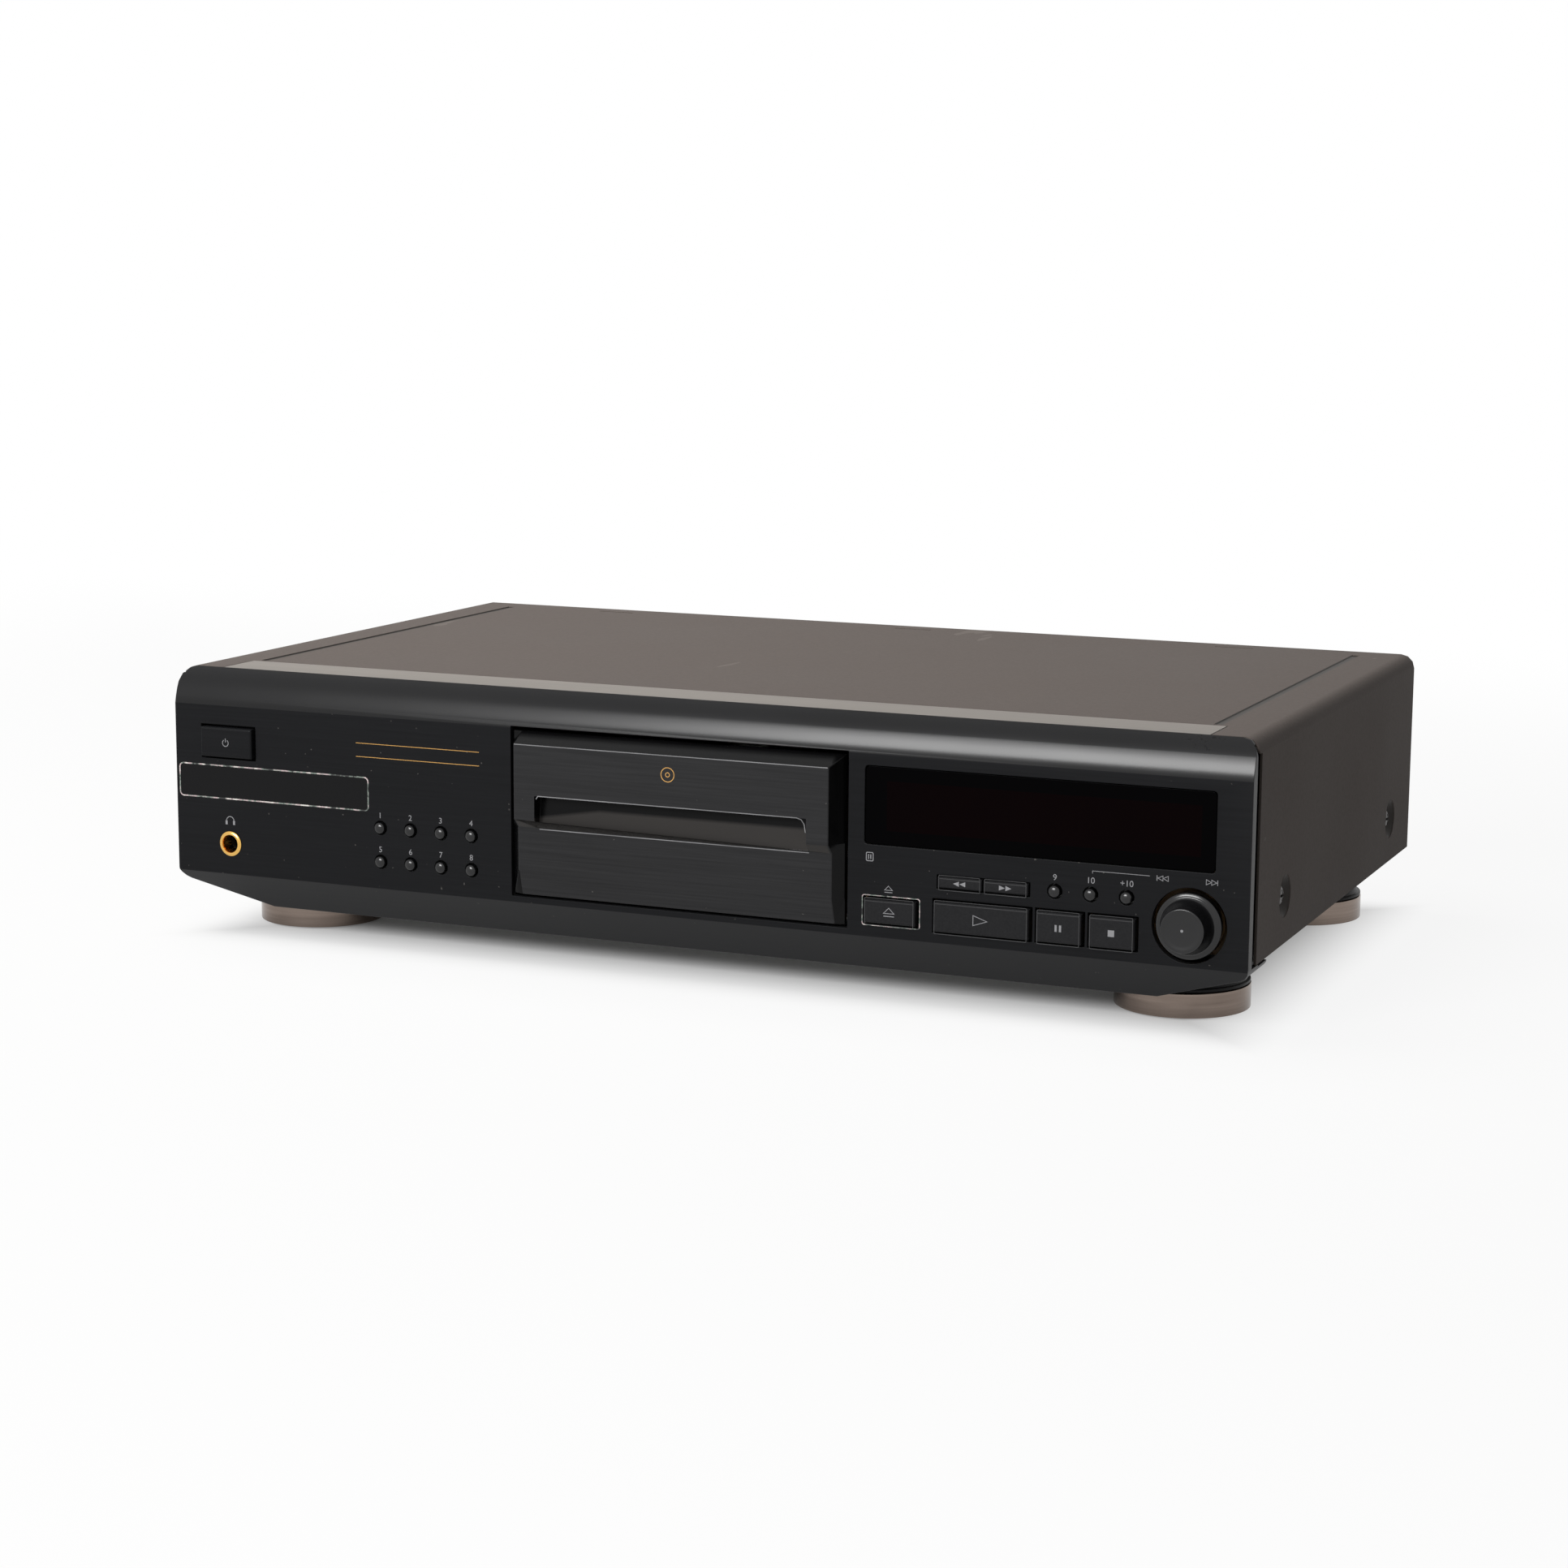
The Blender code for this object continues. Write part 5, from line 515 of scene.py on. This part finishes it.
# Feet: a plated skirt, a fine bead above it, a dark neck that narrows upwards, and a pad under the sole.
footShape = {"top": -0.3, "neckTop": 20.4, "neckLow": 23.0, "bead": 24.3, "beadTop": -13.9, "beadLow": -15.0,
             "under": -15.1, "skirt": 24.5, "skirtTop": -15.4, "skirtLow": -24.3, "wall": 3.4,
             "padRadius": 19.7, "padTop": -22.0, "sole": -25.0, "well": 5.2, "wellTop": -12.0, "hole": 2.3,
             "soft": 0.35}
footScrew = [(0, -14.2), (3.4, -14.6), (4.2, -13.6), (4.2, -12.2), (0, -12.2)]


def footZone(radius, height):
    # 1 the plated skirt, 2 the pad under it, 0 the neck and the inside.
    f, step = footShape, 0.1
    if f["skirt"] - f["wall"] < radius - step and f["skirtLow"] - step < height < f["skirtTop"] + step:
        return 1
    return 2 if height < f["padTop"] - step and radius > f["well"] + step else 0


f = footShape
wall = f["skirt"] - f["wall"]
footProfile = [(f["hole"], f["top"]), (f["neckTop"], f["top"]), (f["neckLow"], f["beadTop"]),
               (f["bead"], f["beadTop"]), (f["bead"], f["beadLow"]), (f["neckLow"], f["under"]),
               (f["neckLow"], f["skirtTop"]), (f["skirt"], f["skirtTop"]), (f["skirt"], f["skirtLow"]),
               (wall, f["skirtLow"]), (wall, f["padTop"]), (f["padRadius"], f["padTop"]),
               (f["padRadius"], f["sole"]), (f["well"], f["sole"]), (f["well"], f["wellTop"]),
               (f["hole"], f["wellTop"]), (f["hole"], f["top"])]
for row in ("front", "rear"):
    for side in ("left", "right"):
        node = "foot_" + row + "_" + side
        spot = middleOf(node)
        item = turnedPiece(node + "Turned", footProfile, "z", (spot.x, spot.y, foldZ),
                           [finish["key"], finish["foot"], finish["rubber"]], "case", 96,
                           f["soft"], footZone)
        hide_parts(node)
        turnedPiece(node + "Screw", footScrew, "z", (spot.x, spot.y, foldZ), finish["zinc"], "case",
                    32)
print("feet turned")

# Controls that are turned: domed buttons, the jog dial and the gilt headphone ring.
buttonShape = {"radius": 2.2, "proud": 0.6, "dome": 1.2, "foot": 3.8, "footFront": 3.3, "footBack": 4.5,
               "pin": 1.3, "pinEnd": 8.2}
b = buttonShape
buttonProfile = [(b["radius"] * math.sin(t), -b["proud"] - b["dome"] * math.cos(t))  # a quarter of an ellipse
                 for t in np.linspace(0, math.pi / 2, 9)]
buttonProfile += [(b["radius"], b["footFront"]), (b["foot"], b["footFront"]), (b["foot"], b["footBack"]),
                  (b["pin"], b["footBack"]), (b["pin"], b["pinEnd"]), (0, b["pinEnd"])]
for number in range(1, 12):
    node = "left_button_%d" % number if number < 9 else "right_button_%d" % (number - 8)
    spot = middleOf(node)
    item = turnedPiece(node + "Turned", buttonProfile, "y", (spot.x, faceY, spot.z), finish["gloss"],
                       bodyOf[node], 40)
    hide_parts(node)

dialShape = {"cap": 7.7, "flange": 11.7, "flankEnd": 10.7, "out": 9.5, "lowShare": 0.14, "curve": 2.6,
             "hollow": (0.55, 0.25), "rim": (2.2, 0.9), "flangeFront": -0.9, "flangeBack": 4.0, "shaft": 3.0,
             "shaftEnd": 7.7, "soft": 0.4, "dot": 0.5}
d = dialShape
# The flank widens evenly while its height falls by a power of what is left of it.
flank = [(d["cap"] + (d["flankEnd"] - d["cap"]) * t,
          -d["out"] * ((1 - d["lowShare"]) * (1 - t) ** d["curve"] + d["lowShare"]))
         for t in np.linspace(0, 1, 14)]
dialProfile = [(0, -d["out"] + d["hollow"][0]), (d["cap"] - d["rim"][0], -d["out"] + d["hollow"][1]),
               (d["cap"] - d["rim"][1], -d["out"])] + flank
dialProfile += [(d["flange"], d["flangeFront"]), (d["flange"], d["flangeBack"]),
                (d["shaft"], d["flangeBack"]), (d["shaft"], d["shaftEnd"]), (0, d["shaftEnd"])]
spot = middleOf("jog_knob")
item = turnedPiece("jogDialTurned", dialProfile, "y", (spot.x, faceY, spot.z), finish["gloss"], "jog_dial",
                   120, d["soft"])
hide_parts("jog_knob")
dot = [(0, 0.50), (d["dot"], 0.52), (d["dot"], 0.7), (0, 0.7)]
turnedPiece("jogDialDot", [(r, s - d["out"]) for r, s in dot], "y", (spot.x, faceY, spot.z), finish["print"],
            "jog_dial", 20)

spot = middleOf("phones_bush")
ringProfile = [(3.25, 5.5), (3.25, -0.2), (3.55, -0.72), (3.95, -0.8), (4.45, -0.62), (4.85, -0.32),
               (4.2, -0.31), (4.2, 5.5), (3.25, 5.5)]
item = turnedPiece("phonesRingTurned", ringProfile, "y", (spot.x, faceY, spot.z), finish["gold"], "case",
                   64)
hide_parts("phones_bush")
print("controls turned")

# Flat keys, and the pieces inside: each node's finish and slot.
for node in ("power_button", "open_button", "rewind_button", "forward_button", "play_button", "pause_button",
             "stop_button"):
    dressed(node, finish["brushed" if node == "power_button" else "key"], 0.3)

innerPieces = {
    ("board", "circuit_board"): ("left_board", "right_board", "main_board"),
    ("plastic", "black_plastic"): ("phones_socket", "digital_socket", "mains_inlet", "power_switch",
                                   "loader_frame", "disc_tray", "laser_pickup", "spindle_carriage",
                                   "turntable"),
    ("white", "white_plastic"): ("line_sockets", "drive_gear", "pulley_gear", "motor_pulley", "clamp_puck",
                                 "carriage_pinion"),
    ("zinc", "zinc_sheet"): ("loading_motor", "base_frame", "carriage_motor", "spindle_motor", "clamp_arm"),
    ("rod", "polished_rod"): ("guide_rod_left", "guide_rod_right"),
    ("iron", "dark_iron"): ("transformer_core",),
    ("tape", "coil_tape"): ("transformer_coil",),
    ("rubber", "belt_rubber"): ("loading_belt",),
}
for (look, slotName), members in innerPieces.items():
    for node in members:
        dressed(node, finish[look], 0.3 if node == "disc_tray" else 0.0)
print("inner pieces dressed")


def markPiece(name, outlines, spot, depth, material, body, thick=0.03):
    # Closed outlines in millimetres, (across, up) from the spot, each carried back through the thickness.
    rings = [np.array(outline, float) for outline in outlines]
    flat = np.vstack(rings)
    total = len(flat)
    across, rise = spot[0] + flat[:, 0] * mm, spot[1] + flat[:, 1] * mm
    depths = [np.full(total, back(depth + shift)) for shift in (-thick, thick)]
    layers = [np.column_stack([across, place, rise]) for place in depths]
    faces, base = [], 0
    for ring in rings:
        here = base + np.arange(len(ring))
        follow = np.roll(here, -1)
        faces += [here.tolist(), (total + here[::-1]).tolist()]
        faces += np.stack([here, total + here, total + follow, follow], -1).tolist()
        base += len(ring)
    return addPiece(name, np.vstack(layers), faces, material, body, smooth=False)


def bar(u, v, wide, tall):
    left, right, low, high = u - wide / 2, u + wide / 2, v - tall / 2, v + tall / 2
    return [(left, low), (right, low), (right, high), (left, high)]


def arrow(u, v, wide, tall):
    # A solid triangle that points along +u, or along -u where the width is negative.
    return [(u - wide / 2, v - tall / 2), (u + wide / 2, v), (u - wide / 2, v + tall / 2)]


def strokes(points, width, closed=False):
    # A ribbon along the line: at each point both edges stand off by half the width, mitred where it turns.
    line = np.array(points, float)
    if closed:
        before, after = np.roll(line, 1, 0), np.roll(line, -1, 0)
    else:
        before = np.vstack([2 * line[0] - line[1], line[:-1]])
        after = np.vstack([line[1:], 2 * line[-1] - line[-2]])
    arriving, leaving = line - before, after - line
    arriving /= np.linalg.norm(arriving, axis=1)[:, None]
    leaving /= np.linalg.norm(leaving, axis=1)[:, None]
    along = (arriving + leaving) / np.linalg.norm(arriving + leaving, axis=1)[:, None]
    offset = np.column_stack([-along[:, 1], along[:, 0]]) * width / 2
    sharpest = 0.4  # the mitre of a sharp turn is cut off here
    offset /= np.clip((along * arriving).sum(1), sharpest, 1)[:, None]
    left, right = line + offset, line - offset
    quads = np.stack([left, right, np.roll(right, -1, 0), np.roll(left, -1, 0)], 1)
    return list(quads if closed else quads[:-1])


def cornered(left, right, low, high, radius, steps=5):
    # A rectangle's outline with each corner a quarter circle of the radius.
    outline = []
    for u, v, start in ((right, high, 0), (left, high, 90), (left, low, 180), (right, low, 270)):
        turn = np.radians(np.linspace(start, start + 90, steps))
        inU = u - math.copysign(radius, u - (left + right) / 2)
        inV = v - math.copysign(radius, v - (low + high) / 2)
        outline += [(inU + radius * c, inV + radius * s) for c, s in zip(np.cos(turn), np.sin(turn))]
    return outline


def arc(radius, start, end, steps=20):
    turns = np.radians(np.linspace(start, end, steps))
    return [(radius * math.cos(turn), radius * math.sin(turn)) for turn in turns]


def ejectSign(half, low, top, barAt, thin, thick):
    # A triangle that points up, over a line.
    triangle = strokes([(-half, low), (0.0, top), (half, low)], thin, True)
    return triangle + strokes([(-half, barAt), (half, barAt)], thick)


def skipSign(turn):
    # Two open triangles against an upright bar, to the right or, turned by -1, to the left.
    signs = [bar(turn * 2.1, 0, 0.25, 1.9)]
    for start in (0, -1.9):
        signs += strokes([(turn * start, -0.9), (turn * (start + 1.8), 0), (turn * start, 0.9)], 0.2, True)
    return signs


keyFront = {"play_button": -2.0, "pause_button": -2.0, "stop_button": -2.0, "open_button": -2.0,
            "power_button": -2.0, "rewind_button": -1.1, "forward_button": -1.1}
symbols = {
    "power_button": strokes(arc(1.3, 125, 415), 0.28) + [bar(0, 1.0, 0.28, 1.5)],
    "open_button": ejectSign(2.0, -0.3, 1.7, -1.3, 0.25, 0.3),
    "play_button": strokes([(-2.6, -1.8), (2.6, 0.0), (-2.6, 1.8)], 0.25, True),
    "pause_button": [bar(-0.8, 0, 0.8, 2.4), bar(0.8, 0, 0.8, 2.4)],
    "stop_button": [bar(0, 0, 2.3, 2.3)],
    "rewind_button": [arrow(-1.2, 0, -2.2, 1.8), arrow(1.2, 0, -2.2, 1.8)],
    "forward_button": [arrow(-1.2, 0, 2.2, 1.8), arrow(1.2, 0, 2.2, 1.8)],
}
for node, outlines in symbols.items():
    spot = middleOf(node)
    markPiece(node + "Symbol", outlines, (spot.x, spot.z), keyFront[node], finish["print"], bodyOf[node])
print("symbols drawn")

# Screws: a domed head with a cross recess, in the cover's dishes and along the rear edge.
screwShape = {"head": 3.7, "rise": 1.6, "round": 1.04, "slot": 0.9, "slotLength": 4.0, "slotDepth": 1.1,
              "under": 0.9, "coverSunk": 2.5, "rearSunk": 0.2, "rearHeight": 7.0,
              "rearPlaces": (-170, -70, 70, 170)}


def crossScrew(name, centre, axis, outward, material):
    # Height over the head's seat: the root of (round - (radius / head) squared) times the rise, less a cross
    # that two overlapping bars cut out. The last two rows go down and back to the middle, to close it.
    s = screwShape
    rings, around = 28, 96
    reach = np.append(np.linspace(0, s["head"], rings - 2), (s["head"], 0.0))
    radius, angle = np.meshgrid(reach, np.linspace(0, 2 * np.pi, around, endpoint=False), indexing="ij")
    u, v = radius * np.cos(angle), radius * np.sin(angle)
    height = s["rise"] * np.sqrt(np.clip(s["round"] - (radius / s["head"]) ** 2, 0, 1))
    longer, shorter = np.maximum(np.abs(u), np.abs(v)), np.minimum(np.abs(u), np.abs(v))
    cut = (longer < s["slotLength"] / 2) & (shorter < s["slot"] / 2)
    height = np.where(cut, height - s["slotDepth"], height)
    height[-2:] = -s["under"]
    height = height * outward
    order = {"x": (height, u, v), "y": (u, height, v)}[axis]
    points = np.stack(order, -1).reshape(-1, 3) * mm + np.array(centre)
    return addPiece(name, points, gridFaces(rings, around), material, "case")


for side, outward in (("Left", -1), ("Right", 1)):
    edge = coverLow.x if outward < 0 else coverHigh.x
    for place, depth in zip(("Front", "Rear"), seatLook["depths"]):
        spot = (edge - outward * screwShape["coverSunk"] * mm, back(depth), up(seatLook["height"]))
        crossScrew("coverScrew" + side + place, spot, "x", outward, finish["screw"])
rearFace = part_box("rear_panel")[1].y - screwShape["rearSunk"] * mm
for number, x in enumerate(screwShape["rearPlaces"]):
    crossScrew("rearScrew%d" % number, (x * mm, rearFace, up(screwShape["rearHeight"])), "y", 1,
               finish["screw"])
print("screws set")

# Line sockets: a plated sleeve over each moulding and a coloured ring at its mouth, white and red.
sleeveShape = {"radius": 4.4, "wall": 0.15, "long": 8.0, "chamfer": (0.5, 0.3), "bore": 3.1, "lip": 1.5,
               "across": 150.0, "half": 7.0, "height": 35.0}
mouthRing = [(3.0, -1.0), (3.0, -0.05), (3.7, 0.0), (3.7, -1.0), (3.0, -1.0)]
s = sleeveShape
sleeveProfile = [(s["radius"] - s["wall"], -s["long"]), (s["radius"], -s["long"]),
                 (s["radius"], -s["chamfer"][1]), (s["radius"] - s["chamfer"][0], 0.0), (s["bore"], 0.0),
                 (s["bore"], -s["lip"]), (s["radius"] - s["wall"], -s["long"])]
for side, colour in ((1, "white"), (-1, "red")):
    centre = ((s["across"] + side * s["half"]) * mm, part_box("line_sockets")[1].y, up(s["height"]))
    turnedPiece("lineSleeve" + colour.title(), sleeveProfile, "y", centre, finish["rod"], "case",
                48)
    turnedPiece("lineRing" + colour.title(), mouthRing, "y", centre, finish[colour], "case",
                48)

# Plain lettering over the round buttons.
numeralLook = {"size": 3.1, "thick": 0.02, "proud": -0.02, "overLeft": 4.7, "overRight": 4.9}


def letterPiece(name, text, node, over):
    # A text curve made into a mesh, then put flat on the face over the node's middle.
    curve = bpy.data.curves.new(name, "FONT")
    curve.body, curve.size, curve.align_x, curve.align_y = text, numeralLook["size"] * mm, "CENTER", "CENTER"
    curve.extrude = numeralLook["thick"] * mm
    carrier = bpy.data.objects.new(name + "Curve", curve)
    bpy.context.scene.collection.objects.link(carrier)
    mesh = bpy.data.meshes.new_from_object(carrier)
    bpy.data.objects.remove(carrier)
    spot = middleOf(node)
    mesh.transform(Matrix(((1, 0, 0, spot.x), (0, 0, -1, back(numeralLook["proud"])),
                           (0, 1, 0, spot.z + over * mm), (0, 0, 0, 1))))
    mesh.materials.clear()
    mesh.materials.append(finish["print"])
    setPiece(name, mesh, "case")


for number in range(1, 9):
    letterPiece("numeralLeft%d" % number, str(number), "left_button_%d" % number, numeralLook["overLeft"])
for number, text in enumerate(("9", "10", "+10"), 1):
    letterPiece("numeralRight%d" % number, text, "right_button_%d" % number, numeralLook["overRight"])

# Marks on the face: each has its place (across, up) and its outlines. Proud and thin are in millimetres.
faceProud, doorProud, stepProud, thin = -0.02, -7.02, -3.54, 0.02
faceMarks = {
    "phonesMark": ((-190.9, 21.0), strokes(arc(1.7, 0, 180), 0.3) +
                   [bar(u, -0.7, 0.9, 1.6) for u in (-1.7, 1.7)]),
    "hairlines": ((-107.6, 53.0), [bar(0, v, 53.0, 0.22) for v in (2.6, -2.6)]),
    "openMark": ((83.5, 17.6), ejectSign(1.5, -0.2, 1.3, -1.0, 0.22, 0.25)),
    "displayMark": ((76.2, 29.0), strokes(cornered(-1.3, 1.3, -1.5, 1.5, 0.4), 0.3, True) +
                    [bar(u, 0, 0.35, 1.7) for u in (-0.4, 0.4)]),
    "skipBack": ((184.2, 30.3), skipSign(-1)),
    "skipOn": ((201.4, 30.3), skipSign(1)),
    "rangeMark": ((163.0, 30.8), strokes([(-4.0, -0.9), (-4.0, 0.0), (16.5, 0.0)], 0.18)),
}
for name, (spot, outlines) in faceMarks.items():
    tint = finish["goldPrint"] if name == "hairlines" else finish["print"]
    markPiece(name, outlines, (spot[0] * mm, up(spot[1])), faceProud, tint, "case")
doorMark = strokes(arc(2.6, 0, 350, 36), 0.3, True) + strokes(arc(0.8, 0, 340, 18), 0.3, True)
markPiece("doorMark", doorMark, (0.0, up(54.0)), doorProud, finish["goldPrint"], "tray")

# Pale edges on the flat keys' fronts, partly wear and partly painted highlight, and a worn rim round the
# mouth of the open key.
keyWearAndGlint = {"inset": 0.65, "corner": 0.25, "width": 0.16, "mouth": (73.5, 95.4, 4.2, 15.1, 0.8, 4),
            "mouthWidth": 0.35}
for node, proud in keyFront.items():
    if node == "power_button":
        continue
    low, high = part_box(node)
    across, rise = ((high[i] - low[i]) / mm / 2 - keyWearAndGlint["inset"] for i in (0, 2))
    outline = cornered(-across, across, -rise, rise, keyWearAndGlint["corner"], 3)
    spot = middleOf(node)
    markPiece(node + "Edge", strokes(outline, keyWearAndGlint["width"], True), (spot.x, spot.z), proud,
              finish["keyEdge"], bodyOf[node], thin)
mouthEdge = strokes(cornered(*keyWearAndGlint["mouth"]), keyWearAndGlint["mouthWidth"], True)
markPiece("openMouthEdge", mouthEdge, (0.0, foldZ), faceProud, finish["filmEdge"], "case",
          thin)

# Sticker film: a blank black-backed sheet with rounded corners and a worn silver edge.
film = {"outline": (-213.4, -129.0, 29.7, 42.5, 1.6), "edge": 0.5, "proud": -0.07, "edgeProud": -0.10}
outline = cornered(*film["outline"])
markPiece("stickerFilm", [outline], (0.0, foldZ), film["proud"], finish["film"], "case")
markPiece("stickerEdge", strokes(outline, film["edge"], True), (0.0, foldZ), film["edgeProud"],
          finish["filmEdge"], "case", thin)

# Door: painted highlights, thin bright lines along the crease under the top bevel and along the lips above
# and below the finger groove.
doorLines = {"crease": ([(-62.6, 61.0), (62.6, 61.0)], doorProud, 0.30),
             "grooveTop": ([(-53.6, 41.0), (-52.8, 42.15), (50.8, 42.15), (52.6, 41.6), (53.7, 40.0),
                            (54.2, 37.0)], doorProud, 0.34),
             "grooveLow": ([(-54.0, 29.15), (54.2, 29.15)], stepProud, 0.30)}
for name, (points, depth, width) in doorLines.items():
    markPiece("door" + name[0].upper() + name[1:], strokes(points, width), (0.0, foldZ), depth,
              finish["crease"], "tray", thin)
print("marks set")

# Stage: a pale floor that fades into the white of the background, a soft light overhead and one in front.
# The fades run over the distance beyond the footprint; near and around are the white's shares there.
stageLook = {"floor": (0.55, 0.55, 0.55), "reach": 6.0, "world": 0.06, "near": 0.03, "around": 0.90,
             "halfWide": 0.205, "halfDeep": 0.118, "firstFade": (-0.045, 0.022), "secondFade": (0.15, 0.90)}


def backgroundRays(tree):
    # 1 for the rays that show the background: straight ones, mirrored ones and those through glass.
    straight = addNode(tree, "LightPath", output="Is Camera Ray")
    return straight.larger(straight.other("Is Glossy Ray")).larger(straight.other("Is Transmission Ray"))


def fade(tree, distance, span, least, most):
    return addNode(tree, "MapRange", {"interpolation_type": "SMOOTHSTEP"},
                   {0: distance, 1: span[0], 2: span[1], 3: least, 4: most})


def stageMaterial():
    # For those rays the floor turns white with the distance from the object; for others it is plain paint.
    look = stageLook
    material = bpy.data.materials.new("paleFloor")
    material.use_nodes = True
    tree = material.node_tree
    tree.nodes.clear()
    x, y, z = axes(tree)
    beyondX = addNode(tree, "Math", {"operation": "ABSOLUTE"}, {0: x}) - look["halfWide"]
    beyondY = addNode(tree, "Math", {"operation": "ABSOLUTE"}, {0: y}) - look["halfDeep"]
    beyond = beyondX.larger(beyondY)
    whiteness = (fade(tree, beyond, look["firstFade"], look["near"], look["around"]) +
                 fade(tree, beyond, look["secondFade"], 0.0, 1.0 - look["around"]))
    pale = addNode(tree, "BsdfDiffuse", {}, {"Color": (*look["floor"], 1)})
    white = addNode(tree, "Emission", {}, {"Color": (1, 1, 1, 1), "Strength": 1.0})
    mixed = addNode(tree, "MixShader", {}, {0: backgroundRays(tree) * whiteness, 1: pale, 2: white})
    addNode(tree, "OutputMaterial", {}, {"Surface": mixed})
    return material


reach = stageLook["reach"]
floorMesh = bpy.data.meshes.new("floor")
floorMesh.from_pydata([(-reach, -reach, 0), (reach, -reach, 0), (reach, reach, 0), (-reach, reach, 0)], [],
                      [(0, 1, 2, 3)])
floorMesh.materials.append(stageMaterial())
floor = bpy.data.objects.new("floor", floorMesh)
bpy.context.scene.collection.objects.link(floor)

# The top light isn't mirrored, so that it leaves no patch on the cover; the roll mirrors the front one.
softLights = {
    "softTop": {"spot": (-0.50, -0.02, 1.10), "aim": (-0.25, 0.0, 0.0), "size": (1.0, 1.0), "power": 17.0,
                "tint": (1.0, 0.985, 0.96), "mirrored": False},
    "softFront": {"spot": (-0.33, -1.80, 0.95), "aim": (0.0, -0.1, 0.1), "size": (0.98, 0.62), "power": 34.0,
                  "tint": (1, 1, 1), "mirrored": True},
}
for name, look in softLights.items():
    light = bpy.data.lights.new(name, "AREA")
    light.shape, light.energy, light.color = "RECTANGLE", look["power"], look["tint"]
    light.size, light.size_y = look["size"]
    item = bpy.data.objects.new(name, light)
    item.location = look["spot"]
    item.visible_glossy = look["mirrored"]
    item.rotation_euler = (Vector(look["aim"]) - Vector(look["spot"])).to_track_quat("-Z", "Y").to_euler()
    bpy.context.scene.collection.objects.link(item)

world = bpy.context.scene.world or bpy.data.worlds.new("studio")
bpy.context.scene.world = world
world.use_nodes = True
skyTree = world.node_tree
skyLevel = backgroundRays(skyTree) * (1.0 - stageLook["world"]) + stageLook["world"]
sky = skyTree.nodes["Background"]
sky.inputs["Color"].default_value = (1, 1, 1, 1)
skyTree.links.new(skyLevel.socket, sky.inputs["Strength"])
print("stage lit")

# Camera: turned to the left and down, with the slight lean that the picture has.
view = {"yaw": -23.122, "pitch": 9.729, "roll": -0.386, "place": (0.4855, -1.16045, 0.271), "lens": 73.26,
        "sensor": 36.0, "clip": (0.05, 50.0)}
yaw, pitch, roll = (math.radians(view[key]) for key in ("yaw", "pitch", "roll"))
forward = np.array([math.sin(yaw) * math.cos(pitch), math.cos(yaw) * math.cos(pitch), -math.sin(pitch)])
sideways = np.array([math.cos(yaw), -math.sin(yaw), 0.0])
downward = np.cross(forward, sideways)
right = math.cos(roll) * sideways + math.sin(roll) * downward
downward = math.cos(roll) * downward - math.sin(roll) * sideways
camera = bpy.data.cameras.new("camera")
camera.sensor_width, camera.lens = view["sensor"], view["lens"]
camera.clip_start, camera.clip_end = view["clip"]
cameraItem = bpy.data.objects.new("camera", camera)
bpy.context.scene.collection.objects.link(cameraItem)
columns = np.column_stack([right, -downward, -forward, view["place"]])
cameraItem.matrix_world = Matrix([*columns.tolist(), [0, 0, 0, 1]])
bpy.context.scene.camera = cameraItem
bpy.context.scene.view_settings.view_transform = "Standard"

print("camera set")
